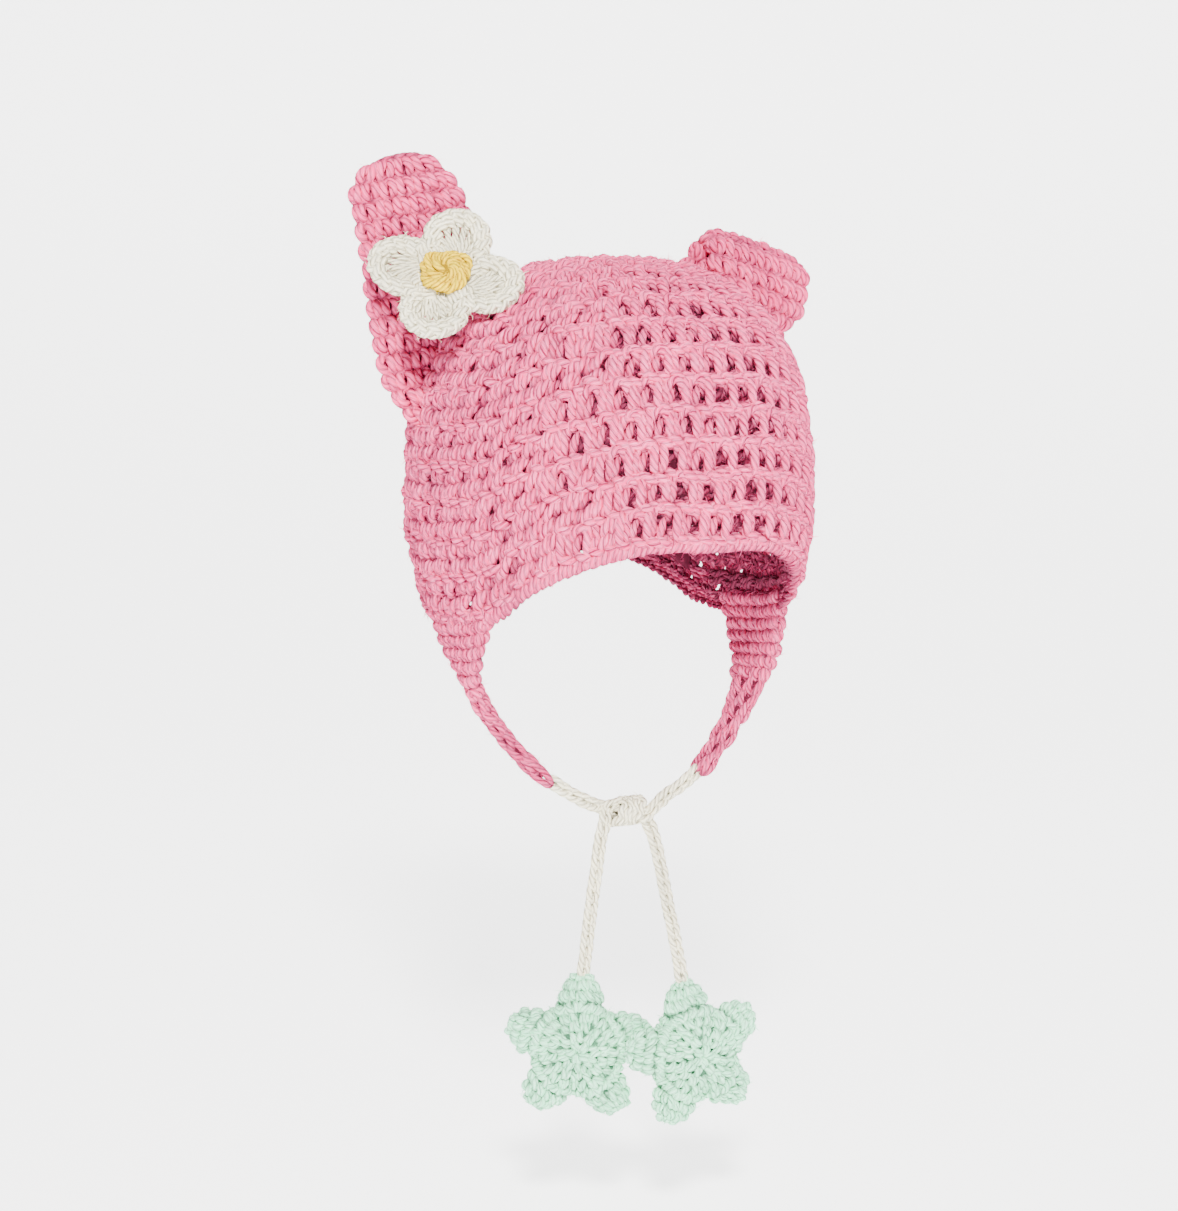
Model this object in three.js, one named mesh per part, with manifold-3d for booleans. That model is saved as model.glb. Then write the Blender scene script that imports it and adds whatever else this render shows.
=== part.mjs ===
// A baby's crocheted hat with two ears, a flower, earflaps and a tie cord with stars.
// Millimetres, +Z up, the hat's front towards -Y. The origin is the middle of the head opening.
// "Left" is the side of a viewer who looks at the hat's front, which is -X.
import * as THREE from "three";
import { mergeVertices } from "three/addons/utils/BufferGeometryUtils.js";
import Module from "manifold-3d";

const wasm = await Module();
wasm.setup();

// Crown: half sizes are outside ones, heights are above the head opening's middle.
const CROWN_HALF_WIDTH = 72.5;
const CROWN_HALF_DEPTH = 89;
const CROWN_TOP = 102.5;
const CROWN_WIDEST_HEIGHT = 8;
const CROWN_SQUARENESS = 2.75; // 2 is a round dome, more is boxier
const CROWN_PULL_IN = 0.09; // share of the girth lost at the lowest rim
const CROWN_ROWS = 13; // rounds of crochet from the apex to the rim
const ROW_GROOVE = 1.2; // depth of the groove between two rounds
const FABRIC = 5.5; // one layer of this crochet
const RIM_FRONT_HEIGHT = 4.5;
const RIM_DROP = 31; // how far the rim falls from the forehead to the nape

// The rim's fall around the hat: degrees from the front, share of RIM_DROP.
const RIM = [
  { turn: 0, drop: 0 },
  { turn: 18, drop: 0.01 },
  { turn: 34, drop: 0.17 },
  { turn: 48, drop: 0.41 },
  { turn: 57, drop: 0.62 },
  { turn: 65, drop: 0.84 },
  { turn: 80, drop: 1 },
  { turn: 114, drop: 1 },
  { turn: 134, drop: 0.62 },
  { turn: 156, drop: 0.36 },
  { turn: 180, drop: 0.3 },
];

// Earflaps: one strip each, from the crown's rim to the strap's end.
const FLAP_FRONT_TURN = 69; // degrees from the front where the flap starts
const FLAP_BACK_TURN = 104;
const FLAP_LENGTH = 63; // height from the rim to the strap's end
const FLAP_TUCK = 3; // how far the strip is drawn above the rim before it is cut to it
const FLAP_FABRIC = 5;
const STRAP_WIDTH = 8;
const STRAP_THICK = 4.5;
const STRAP_TWIST = 22; // degrees
const STRAP_END_OUT = 31.8; // from the middle plane
const STRAP_END_FORWARD = 16;

// One row for each section of a flap: share of FLAP_LENGTH down, share of the way in from the crown's
// side to the strap's end, share of the way from the flap's middle to the strap's end in depth,
// share of the width left between the flap's full width and the strap's, how closely the strip
// follows the crown's curve, and the share of STRAP_TWIST by which its front edge turns outward.
const FLAP = [
  { down: 0.0, inward: 0.0, forward: 0.0, width: 1.0, hug: 1.0, twist: 0 },
  { down: 0.1, inward: 0.0, forward: 0.08, width: 0.8, hug: 0.75, twist: 0.05 },
  { down: 0.2, inward: 0.02, forward: 0.16, width: 0.61, hug: 0.45, twist: 0.15 },
  { down: 0.32, inward: 0.06, forward: 0.24, width: 0.42, hug: 0.2, twist: 0.4 },
  { down: 0.44, inward: 0.14, forward: 0.32, width: 0.26, hug: 0.05, twist: 0.75 },
  { down: 0.56, inward: 0.26, forward: 0.43, width: 0.14, hug: 0, twist: 1 },
  { down: 0.67, inward: 0.4, forward: 0.55, width: 0.06, hug: 0, twist: 1 },
  { down: 0.78, inward: 0.57, forward: 0.7, width: 0.02, hug: 0, twist: 1 },
  { down: 0.88, inward: 0.75, forward: 0.84, width: 0, hug: 0, twist: 0.9 },
  { down: 1.0, inward: 1.0, forward: 1.0, width: 0, hug: 0, twist: 0.8 },
];

// Ears: a flat double layer. The foot is cut to the crown's shoulder.
const EAR_LENGTH = 100;
const EAR_WIDTH = 46;
const EAR_THICK = 9.5;
const EAR_FOOT_BACK = 16; // behind the hat's middle
const EAR_FOOT_DEPTH = 58.5; // from the crown's top to the foot's lowest point, before it is cut
const UPRIGHT_FOOT_INSET = 16; // from the crown's widest side
const UPRIGHT_LEAN = 10; // degrees outward
const UPRIGHT_TIP_BACK = 4; // how far the tip stands behind the foot
const FOLDED_FOOT_INSET = 24;
const FOLDED_LEAN = 18;
const FOLDED_TIP_BACK = 0;
const FOLD_START = 0.56; // share of the ear's length that stays up
const FOLD_END = 0.77;
const FOLD_ANGLE = 168; // degrees between the foot's direction and the folded tip's

// The ear's outline: share of its length, outer and inner edge as shares of half its width.
const EAR = [
  { along: 0.0, outer: 0.62, inner: 0.6 },
  { along: 0.1, outer: 0.88, inner: 0.85 },
  { along: 0.22, outer: 1.02, inner: 1.12 },
  { along: 0.36, outer: 1.06, inner: 1.32 },
  { along: 0.47, outer: 1.04, inner: 1.28 },
  { along: 0.57, outer: 1.0, inner: 1.06 },
  { along: 0.66, outer: 0.98, inner: 0.98 },
  { along: 0.77, outer: 0.99, inner: 0.93 },
  { along: 0.85, outer: 0.98, inner: 0.83 },
  { along: 0.91, outer: 0.9, inner: 0.68 },
  { along: 0.955, outer: 0.72, inner: 0.5 },
  { along: 0.985, outer: 0.45, inner: 0.3 },
  { along: 1.0, outer: 0.1, inner: 0.1 },
];

// Flower at the foot of the standing ear.
const FLOWER_RADIUS = 29;
const FLOWER_NOTCH = 0.5; // radius between two petals, as a share of the flower's
const FLOWER_THICK = 4.5;
const FLOWER_CUP = 3; // how far the petals' tips lift
const PETALS = 4;
const PETAL_TURN = 15; // degrees from straight up to the first petal
const MIDDLE_RADIUS = 9.2;
const MIDDLE_HEIGHT = 5.5;
const FLOWER_INSET = 5; // from the crown's widest side to the middle of its back
const FLOWER_FORWARD = 6.5;
const FLOWER_DEPTH = 8; // below the crown's top
const FLOWER_YAW = -22; // degrees its face turns to the left
const FLOWER_TILT = 36; // degrees its face looks up

// Tie cord and stars.
const CORD_DIAMETER = 5.5;
const KNOT_LENGTH = 22;
const KNOT_THICK = 11.5;
const KNOT_PLACE = new THREE.Vector3(0, -17, -103.2);
const STAR_RADIUS = 28.5;
const STAR_NOTCH = 0.58; // radius between two arms, as a share of the star's
const STAR_THICK = 16;
const STAR_ARMS = 5;

// What touches keeps this gap.
const GAP = 0.3;

// The cords' routes, points chosen by hand. Each chin cord runs from a strap's end to the knot,
// and each drop cord from the knot to the top of a star.
const LEFT_CHIN_ROUTE = [
  [-30.6, -16.2, -89.5],
  [-27.6, -16.6, -92.0],
  [-24.0, -16.8, -94.4],
  [-20.2, -17.0, -96.6],
  [-16.4, -17.0, -98.6],
  [-11.2, -17.0, -101.0],
];
const RIGHT_CHIN_ROUTE = [
  [30.6, -16.2, -89.5],
  [27.6, -16.6, -92.0],
  [24.0, -16.8, -94.4],
  [20.2, -17.0, -96.6],
  [16.4, -17.0, -98.6],
  [11.5, -17.0, -100.8],
];
const LEFT_DROP_ROUTE = [
  [-8.8, -16.8, -107.1],
  [-9.9, -16.3, -111.4],
  [-10.7, -15.7, -117.4],
  [-11.3, -14.9, -124.0],
  [-11.9, -13.8, -132.0],
  [-12.5, -12.4, -141.0],
  [-13.0, -10.9, -150.0],
  [-13.5, -9.4, -159.0],
  [-13.8, -8.2, -166.2],
];
const RIGHT_DROP_ROUTE = [
  [8.6, -17.2, -107.3],
  [10.5, -17.7, -111.6],
  [11.9, -18.4, -117.4],
  [13.1, -19.3, -124.0],
  [14.3, -20.4, -132.0],
  [15.6, -21.8, -141.0],
  [16.9, -23.3, -150.0],
  [18.1, -24.7, -159.0],
  [19.3, -26.1, -168.4],
];

const degrees = THREE.MathUtils.degToRad;
const up = new THREE.Vector3(0, 0, 1);

// A smooth value read from a table: one Catmull-Rom span between two rows.
function readTable(table, key, at, name) {
  const last = table.length - 1;
  let i = table.findIndex((row) => row[key] > at) - 1;
  if (i < -1 || i >= last) i = last - 1;
  i = Math.max(i, 0);
  const [a, b] = [table[i], table[i + 1]];
  const before = table[Math.max(i - 1, 0)];
  const after = table[Math.min(i + 2, last)];
  const span = b[key] - a[key];
  const t = THREE.MathUtils.clamp((at - a[key]) / span, 0, 1);
  const slopeIn = ((b[name] - before[name]) / (b[key] - before[key])) * span;
  const slopeOut = ((after[name] - a[name]) / (after[key] - a[key])) * span;
  const rise = b[name] - a[name];
  const bend = 3 * rise - 2 * slopeIn - slopeOut;
  const curl = slopeIn + slopeOut - 2 * rise;
  return a[name] + t * (slopeIn + t * (bend + t * curl));
}

// A closed solid from rings of points. Rings run in one direction, each as a loop of the same count.
function loft(rings) {
  const count = rings[0].length;
  const points = rings.flat();
  const ends = [rings[0], rings.at(-1)].map((ring) => {
    const middle = new THREE.Vector3();
    ring.forEach((p) => middle.add(p));
    return middle.divideScalar(count);
  });
  const first = points.length;
  points.push(...ends);
  const faces = [];
  for (let r = 0; r + 1 < rings.length; r++) {
    for (let i = 0; i < count; i++) {
      const a = r * count + i;
      const b = r * count + ((i + 1) % count);
      faces.push(a, b, b + count, a, b + count, a + count);
    }
  }
  const lastRing = (rings.length - 1) * count;
  for (let i = 0; i < count; i++) {
    const next = (i + 1) % count;
    faces.push(first, next, i);
    faces.push(first + 1, lastRing + i, lastRing + next);
  }
  return solidGeometry(points, faces);
}

// An indexed geometry with its faces turned outwards.
function solidGeometry(points, faces) {
  const flat = points.flatMap((p) => [p.x, p.y, p.z]);
  const geometry = new THREE.BufferGeometry();
  geometry.setAttribute("position", new THREE.Float32BufferAttribute(flat, 3));
  let volume = 0;
  for (let i = 0; i < faces.length; i += 3) {
    const [a, b, c] = [points[faces[i]], points[faces[i + 1]], points[faces[i + 2]]];
    volume += a.dot(b.clone().cross(c));
  }
  if (volume < 0) faces.reverse();
  geometry.setIndex(faces);
  return geometry;
}

function toManifold(geometry) {
  const bare = geometry.clone();
  bare.deleteAttribute("normal");
  bare.deleteAttribute("uv");
  const merged = mergeVertices(bare, 1e-4);
  return new wasm.Manifold(
    new wasm.Mesh({
      numProp: 3,
      vertProperties: merged.attributes.position.array,
      triVerts: new Uint32Array(merged.index.array),
    }),
  );
}

function fromManifold(solid) {
  const mesh = solid.getMesh();
  const geometry = new THREE.BufferGeometry();
  const position = new THREE.BufferAttribute(new Float32Array(mesh.vertProperties), 3);
  geometry.setAttribute("position", position);
  geometry.setIndex(new THREE.BufferAttribute(new Uint32Array(mesh.triVerts), 1));
  return geometry;
}

function finish(name, geometry, colour, roughness) {
  const plain = geometry.index ? geometry.toNonIndexed() : geometry;
  plain.computeVertexNormals();
  const material = new THREE.MeshStandardMaterial({ color: colour, roughness, metalness: 0 });
  const mesh = new THREE.Mesh(plain, material);
  mesh.name = name;
  return mesh;
}

// Share of the full girth at a height: a boxy dome above the widest round, a slight pull in below it.
function girthAt(height) {
  if (height >= CROWN_WIDEST_HEIGHT) {
    const rise = (height - CROWN_WIDEST_HEIGHT) / (CROWN_TOP - CROWN_WIDEST_HEIGHT);
    const left = 1 - Math.min(rise, 1) ** CROWN_SQUARENESS;
    return left ** (1 / CROWN_SQUARENESS);
  }
  const lowest = RIM_FRONT_HEIGHT - RIM_DROP;
  const fall = (CROWN_WIDEST_HEIGHT - height) / (CROWN_WIDEST_HEIGHT - lowest);
  return 1 - CROWN_PULL_IN * fall ** 1.3;
}

// The crown's meridian: height and girth by the length along it from the apex, on a mean radius.
const MERIDIAN_STEPS = 400;
const meridian = [];
{
  const radius = (CROWN_HALF_WIDTH + CROWN_HALF_DEPTH) / 2;
  const lowest = RIM_FRONT_HEIGHT - RIM_DROP - FLAP_LENGTH;
  let length = 0;
  let previous = { girth: 0, height: CROWN_TOP };
  for (let i = 0; i <= MERIDIAN_STEPS; i++) {
    const angle = (i / MERIDIAN_STEPS) * (Math.PI / 2);
    const rise = Math.cos(angle) ** (2 / CROWN_SQUARENESS);
    const girth = Math.sin(angle) ** (2 / CROWN_SQUARENESS);
    const height = CROWN_WIDEST_HEIGHT + (CROWN_TOP - CROWN_WIDEST_HEIGHT) * rise;
    length += Math.hypot((girth - previous.girth) * radius, height - previous.height);
    previous = { girth, height };
    meridian.push({ length, height, girth });
  }
  for (let i = 1; i <= MERIDIAN_STEPS; i++) {
    const fall = (i / MERIDIAN_STEPS) * (CROWN_WIDEST_HEIGHT - lowest);
    const height = CROWN_WIDEST_HEIGHT - fall;
    const girth = girthAt(height);
    length += Math.hypot((girth - previous.girth) * radius, height - previous.height);
    previous = { girth, height };
    meridian.push({ length, height, girth });
  }
}

// The meridian's row at a length or at a height.
function meridianAt(key, value) {
  const sign = key === "height" ? -1 : 1;
  let low = 0;
  let high = meridian.length - 1;
  while (high - low > 1) {
    const middle = (low + high) >> 1;
    if (sign * meridian[middle][key] <= sign * value) low = middle;
    else high = middle;
  }
  const [a, b] = [meridian[low], meridian[high]];
  const t = THREE.MathUtils.clamp((value - a[key]) / (b[key] - a[key] || 1), 0, 1);
  return {
    length: a.length + t * (b.length - a.length),
    height: a.height + t * (b.height - a.height),
    girth: a.girth + t * (b.girth - a.girth),
  };
}

function rimHeight(turn) {
  const fromFront = Math.abs(((turn + 540) % 360) - 180);
  return RIM_FRONT_HEIGHT - RIM_DROP * readTable(RIM, "turn", fromFront, "drop");
}

// A point on the crown's outside, for a turn from the front in degrees and a length from the apex.
function crownPoint(turn, length, outward = 0) {
  const { girth, height } = meridianAt("length", length);
  const step = 0.5;
  const next = meridianAt("length", length + step);
  const last = meridianAt("length", Math.max(length - step, 0));
  const angle = degrees(turn);
  const [sin, cos] = [Math.sin(angle), Math.cos(angle)];
  const across = new THREE.Vector3(CROWN_HALF_WIDTH * cos, CROWN_HALF_DEPTH * sin, 0);
  const grow = next.girth - last.girth;
  const along = new THREE.Vector3(
    CROWN_HALF_WIDTH * sin * grow,
    -CROWN_HALF_DEPTH * cos * grow,
    next.height - last.height,
  );
  const normal = along.cross(across).normalize();
  const point = new THREE.Vector3(
    CROWN_HALF_WIDTH * girth * sin,
    -CROWN_HALF_DEPTH * girth * cos,
    height,
  );
  return point.addScaledVector(normal, outward);
}

const rimLength = (turn) => meridianAt("height", rimHeight(turn)).length;

// The crown: an outer skin with a groove between rounds, turned in at the rim to an inner skin.
const CROWN_COLUMNS = 44;
const POLE_SHARE = 0.012; // the skins close at the apex from this share of the meridian
function crown() {
  const stepsPerRow = 2;
  const innerRows = 13;
  const rings = [];
  const ring = (share, outward) => {
    const points = [];
    for (let i = 0; i < CROWN_COLUMNS; i++) {
      const turn = (i * 360) / CROWN_COLUMNS;
      points.push(crownPoint(turn, share * rimLength(turn), outward));
    }
    return points;
  };
  const rows = CROWN_ROWS * stepsPerRow;
  for (let i = 0; i <= rows; i++) {
    const share = Math.max(i / rows, POLE_SHARE);
    const groove = i > 0 && i % stepsPerRow === 0 ? ROW_GROOVE : 0;
    rings.push(ring(share, -groove));
  }
  for (let i = innerRows; i >= 0; i--) {
    rings.push(ring(Math.max(i / innerRows, POLE_SHARE), -FABRIC));
  }
  return finish("crown", loft(rings), 0xf6a6c0, 0.9);
}

// The crown's outside grown by a gap and closed at its rim: what sits on the crown is cut with it.
function crownSeat() {
  const rows = 30;
  const rings = [];
  for (let i = 0; i <= rows; i++) {
    const share = Math.max(i / rows, POLE_SHARE);
    const points = [];
    for (let k = 0; k < CROWN_COLUMNS; k++) {
      const turn = (k * 360) / CROWN_COLUMNS;
      points.push(crownPoint(turn, share * (rimLength(turn) + GAP), GAP));
    }
    rings.push(points);
  }
  return toManifold(loft(rings));
}

// A body cut to its seat on the crown: the largest piece that is left outside.
function seated(geometry, seat) {
  const cut = toManifold(geometry).subtract(seat);
  return fromManifold(cut.decompose().sort((a, b) => b.volume() - a.volume())[0]);
}

// A rounded cross-section: across and thick are half sizes, on two unit directions.
function roundedSection(centre, acrossDirection, thickDirection, across, thick, count, power = 2.6) {
  const points = [];
  for (let i = 0; i < count; i++) {
    const angle = (i / count) * 2 * Math.PI;
    const [c, s] = [Math.cos(angle), Math.sin(angle)];
    const a = Math.sign(c) * Math.abs(c) ** (2 / power) * across;
    const t = Math.sign(s) * Math.abs(s) ** (2 / power) * thick;
    const point = centre.clone();
    point.addScaledVector(acrossDirection, a).addScaledVector(thickDirection, t);
    points.push(point);
  }
  return points;
}

// A flap's middle line, width and how far it follows the crown's curve, at a share of its height.
function flapAt(share, side) {
  const read = (name) => readTable(FLAP, "down", share, name);
  const top = crownPoint(side * 90, rimLength(90), -FLAP_FABRIC / 2);
  const front = crownPoint(side * FLAP_FRONT_TURN, rimLength(FLAP_FRONT_TURN));
  const back = crownPoint(side * FLAP_BACK_TURN, rimLength(FLAP_BACK_TURN));
  const middleDepth = (front.y + back.y) / 2;
  const fullWidth = back.y - front.y;
  const inward = Math.abs(top.x) - STRAP_END_OUT;
  return {
    centre: new THREE.Vector3(
      side * (Math.abs(top.x) - inward * read("inward")),
      middleDepth - (STRAP_END_FORWARD + middleDepth) * read("forward"),
      top.z + FLAP_TUCK - share * (FLAP_LENGTH + FLAP_TUCK),
    ),
    half: (STRAP_WIDTH + (fullWidth - STRAP_WIDTH) * read("width")) / 2,
    hug: read("hug"),
    twist: degrees(STRAP_TWIST) * read("twist"),
  };
}

// An earflap: a strip whose upper end follows the crown's rim and whose lower end is a strap.
function earflap(name, side, seat) {
  const columns = 6;
  const sections = 24;
  const rings = [];
  for (let i = 0; i <= sections; i++) {
    const share = i / sections;
    const { centre, half, hug, twist } = flapAt(share, side);
    const ahead = flapAt(Math.min(share + 0.02, 1), side).centre;
    const behind = flapAt(Math.max(share - 0.02, 0), side).centre;
    const along = ahead.sub(behind).normalize();
    const across = new THREE.Vector3(-side * Math.sin(twist), Math.cos(twist), 0);
    across.addScaledVector(along, -across.dot(along)).normalize();
    const outward = across.clone().cross(along).multiplyScalar(-side).normalize();
    const thick = THREE.MathUtils.lerp(FLAP_FABRIC, STRAP_THICK, share);
    const points = [];
    for (const face of [1, -1]) {
      for (let k = 0; k <= columns; k++) {
        const w = face * (1 - (2 * k) / columns);
        const turn = THREE.MathUtils.lerp(FLAP_FRONT_TURN, FLAP_BACK_TURN, (w + 1) / 2);
        const edge = 1 - 0.35 * Math.abs(w) ** 4;
        const onStrip = centre.clone().addScaledVector(across, w * half);
        onStrip.addScaledVector(outward, (face * thick * edge) / 2);
        const down = rimHeight(turn) + FLAP_TUCK - share * (FLAP_LENGTH + FLAP_TUCK);
        const length = meridianAt("height", down).length;
        const depth = face > 0 ? 0 : -FLAP_FABRIC;
        const onCrown = crownPoint(side * turn, length, depth);
        points.push(onStrip.lerp(onCrown, hug));
      }
    }
    rings.push(points);
  }
  return finish(name, seated(loft(rings), seat), 0xf5a3be, 0.9);
}

// The middle line of an ear in its own plane: lift is along the ear, reach is forward of it.
function earLine(folded) {
  const steps = 96;
  const line = [];
  let lift = 0;
  let reach = 0;
  for (let i = 0; i <= steps; i++) {
    const share = i / steps;
    const t = THREE.MathUtils.smoothstep(share, FOLD_START, FOLD_END);
    const bend = folded ? degrees(FOLD_ANGLE) * t : 0;
    line.push({ share, lift, reach, bend });
    lift += (EAR_LENGTH / steps) * Math.cos(bend);
    reach += (EAR_LENGTH / steps) * Math.sin(bend);
  }
  return (at) => line[Math.round(THREE.MathUtils.clamp(at, 0, 1) * steps)];
}

// An ear, cut to the crown's shoulder. Side is -1 for the left and 1 for the right.
function ear(name, side, footOut, lean, tipBack, folded, seat) {
  const sections = 28;
  const count = 16;
  const lineAt = earLine(folded);
  const tilt = degrees(lean);
  const outward = new THREE.Vector3(side * Math.cos(tilt), 0, -Math.sin(tilt));
  const rise = new THREE.Vector3(side * Math.sin(tilt), tipBack / EAR_LENGTH, Math.cos(tilt));
  rise.normalize();
  const forward = outward.clone().cross(rise).multiplyScalar(side).normalize();
  const foot = new THREE.Vector3(side * footOut, EAR_FOOT_BACK, CROWN_TOP - EAR_FOOT_DEPTH);
  const rings = [];
  for (let i = 0; i <= sections; i++) {
    const share = i / sections;
    const { lift, reach, bend } = lineAt(share);
    const outer = readTable(EAR, "along", share, "outer") * (EAR_WIDTH / 2);
    const inner = readTable(EAR, "along", share, "inner") * (EAR_WIDTH / 2);
    const centre = foot.clone();
    centre.addScaledVector(rise, lift).addScaledVector(forward, reach);
    centre.addScaledVector(outward, (outer - inner) / 2);
    const face = forward.clone().multiplyScalar(Math.cos(bend));
    face.addScaledVector(rise, -Math.sin(bend));
    const tip = 1 - 0.45 * THREE.MathUtils.smoothstep(share, 0.86, 1);
    const thick = (EAR_THICK / 2) * tip;
    rings.push(roundedSection(centre, outward, face, (outer + inner) / 2, thick, count));
  }
  return finish(name, seated(loft(rings), seat), 0xf985ad, 0.9);
}

// A lobed radius: the full radius at each lobe's middle, notch times it between two lobes. A power
// under 1 gives round lobes with sharp notches, one over 1 gives slim lobes with round notches.
function lobedRadius(angle, lobes, radius, notch, power) {
  const wave = Math.abs(Math.cos((lobes * angle) / 2)) ** power;
  return radius * (notch + (1 - notch) * wave);
}

// The flower's frame: x to the right on its face, y up on it, z out of it.
function onFlower(geometry) {
  const turn = new THREE.Euler(degrees(90 - FLOWER_TILT), 0, degrees(FLOWER_YAW), "ZYX");
  const x = FLOWER_INSET - CROWN_HALF_WIDTH;
  const place = new THREE.Vector3(x, -FLOWER_FORWARD, CROWN_TOP - FLOWER_DEPTH);
  const frame = new THREE.Matrix4().makeRotationFromEuler(turn).setPosition(place);
  return geometry.applyMatrix4(frame);
}

// Four rounded petals in one piece, with lifted tips and room for the domed middle.
function flowerPetals(seat) {
  const columns = 50;
  const shares = [0, 0.5, 0.85, 1];
  const hole = MIDDLE_RADIUS * 0.5;
  const at = (angle, share, face) => {
    const rim = lobedRadius(angle, PETALS, FLOWER_RADIUS, FLOWER_NOTCH, 0.75);
    const r = hole + (rim - hole) * share;
    const lift = FLOWER_CUP * (r / FLOWER_RADIUS) ** 2;
    const half = (FLOWER_THICK / 2) * (share === 1 ? 0.55 : 1);
    const turned = angle + Math.PI / 2 - degrees(PETAL_TURN);
    return new THREE.Vector3(
      r * Math.cos(turned),
      r * Math.sin(turned),
      FLOWER_THICK / 2 + lift + face * half,
    );
  };
  const rings = [];
  for (const face of [-1, 1]) {
    for (const share of face < 0 ? shares : [...shares].reverse()) {
      const ring = [];
      for (let i = 0; i < columns; i++) ring.push(at((i / columns) * 2 * Math.PI, share, face));
      rings.push(ring);
    }
  }
  return finish("flower_petals", seated(onFlower(loft(rings)), seat), 0xe9ecdd, 0.85);
}

// The domed middle: a button of crochet that sits on the petals.
function flowerMiddle() {
  const base = FLOWER_THICK + FLOWER_CUP * (MIDDLE_RADIUS / FLOWER_RADIUS) ** 2 + GAP;
  const profile = [new THREE.Vector2(0, base)];
  const steps = 8;
  for (let i = 0; i <= steps; i++) {
    const angle = (i / steps) * (Math.PI / 2);
    const radius = i === steps ? 0 : MIDDLE_RADIUS * Math.cos(angle) ** 0.8;
    profile.push(new THREE.Vector2(radius, base + MIDDLE_HEIGHT * Math.sin(angle) ** 0.8));
  }
  const geometry = new THREE.LatheGeometry(profile, 20);
  geometry.rotateX(Math.PI / 2);
  return finish("flower_middle", onFlower(geometry), 0xf8d24a, 0.85);
}

// A round cord along a route.
function cord(name, route) {
  const sides = 8;
  const outline = [];
  for (let i = 0; i < sides; i++) {
    const angle = (i / sides) * 2 * Math.PI;
    const radius = CORD_DIAMETER / 2;
    outline.push(new THREE.Vector2(radius * Math.cos(angle), radius * Math.sin(angle)));
  }
  const path = new THREE.CatmullRomCurve3(route.map((p) => new THREE.Vector3(...p)));
  const steps = Math.max(3, Math.round(path.getLength() / (2 * CORD_DIAMETER)));
  const options = { steps, extrudePath: path, bevelEnabled: false };
  const geometry = new THREE.ExtrudeGeometry(new THREE.Shape(outline), options);
  return finish(name, geometry, 0xe9ecdd, 0.9);
}

// The knot: two strands of cord twisted about each other, as one lobed spindle.
function chinKnot() {
  const sections = 16;
  const count = 20;
  const halfTwists = 3;
  const rings = [];
  for (let i = 0; i <= sections; i++) {
    const share = i / sections;
    const along = (share - 0.5) * KNOT_LENGTH;
    const fade = Math.sin(Math.PI * THREE.MathUtils.clamp(share, 0.06, 0.94)) ** 0.45;
    const ring = [];
    for (let k = 0; k < count; k++) {
      const angle = (k / count) * 2 * Math.PI;
      const lobe = 0.86 + 0.14 * Math.cos(2 * angle - halfTwists * Math.PI * share);
      const radius = (KNOT_THICK / 2) * fade * lobe;
      ring.push(new THREE.Vector3(along, radius * Math.cos(angle), radius * Math.sin(angle)));
    }
    rings.push(ring);
  }
  const mesh = finish("chin_knot", loft(rings), 0xe9ecdd, 0.9);
  mesh.position.copy(KNOT_PLACE);
  return mesh;
}

// A stuffed star: puffy, thickest in the middle. Its frame has y up the first arm and z out of its face.
function star(name, top, yaw, roll) {
  const columns = 40;
  const shares = [0.04, 0.35, 0.62, 0.85];
  const at = (angle, share, face) => {
    const rim = lobedRadius(angle, STAR_ARMS, STAR_RADIUS, STAR_NOTCH, 1.8);
    const r = rim * share;
    const puff = (1 - share ** 2.2) ** 0.55;
    const slim = 0.5 + 0.5 * (STAR_NOTCH * STAR_RADIUS) / rim;
    const turned = angle + Math.PI / 2;
    const thick = (face * STAR_THICK * puff * THREE.MathUtils.lerp(1, slim, share)) / 2;
    return new THREE.Vector3(r * Math.cos(turned), r * Math.sin(turned) - STAR_RADIUS, thick);
  };
  const rings = [];
  const faces = [
    ...shares.map((share) => [share, -1]),
    [1, 0],
    ...[...shares].reverse().map((share) => [share, 1]),
  ];
  for (const [share, face] of faces) {
    const ring = [];
    for (let i = 0; i < columns; i++) {
      ring.push(at((i / columns) * 2 * Math.PI, share, face));
    }
    rings.push(ring);
  }
  const mesh = finish(name, loft(rings), 0xb5e8cf, 0.9);
  const hung = new THREE.Group();
  hung.add(mesh);
  mesh.rotation.set(Math.PI / 2, 0, 0);
  hung.rotation.set(0, degrees(roll), degrees(yaw), "ZYX");
  hung.position.set(...top).addScaledVector(up, -GAP);
  return hung;
}

const hat = new THREE.Group();
const seat = crownSeat();
hat.add(crown());
hat.add(earflap("left_earflap", -1, seat));
hat.add(earflap("right_earflap", 1, seat));
const upright = [CROWN_HALF_WIDTH - UPRIGHT_FOOT_INSET, UPRIGHT_LEAN, UPRIGHT_TIP_BACK, false];
const folded = [CROWN_HALF_WIDTH - FOLDED_FOOT_INSET, FOLDED_LEAN, FOLDED_TIP_BACK, true];
hat.add(ear("upright_ear", -1, ...upright, seat));
hat.add(ear("folded_ear", 1, ...folded, seat));
hat.add(flowerPetals(seat));
hat.add(flowerMiddle());
hat.add(cord("left_chin_cord", LEFT_CHIN_ROUTE));
hat.add(cord("right_chin_cord", RIGHT_CHIN_ROUTE));
hat.add(chinKnot());
hat.add(cord("left_drop_cord", LEFT_DROP_ROUTE));
hat.add(cord("right_drop_cord", RIGHT_DROP_ROUTE));
hat.add(star("left_star", LEFT_DROP_ROUTE.at(-1), -25, 3));
hat.add(star("right_star", RIGHT_DROP_ROUTE.at(-1), 0, -11));

export default hat;
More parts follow.
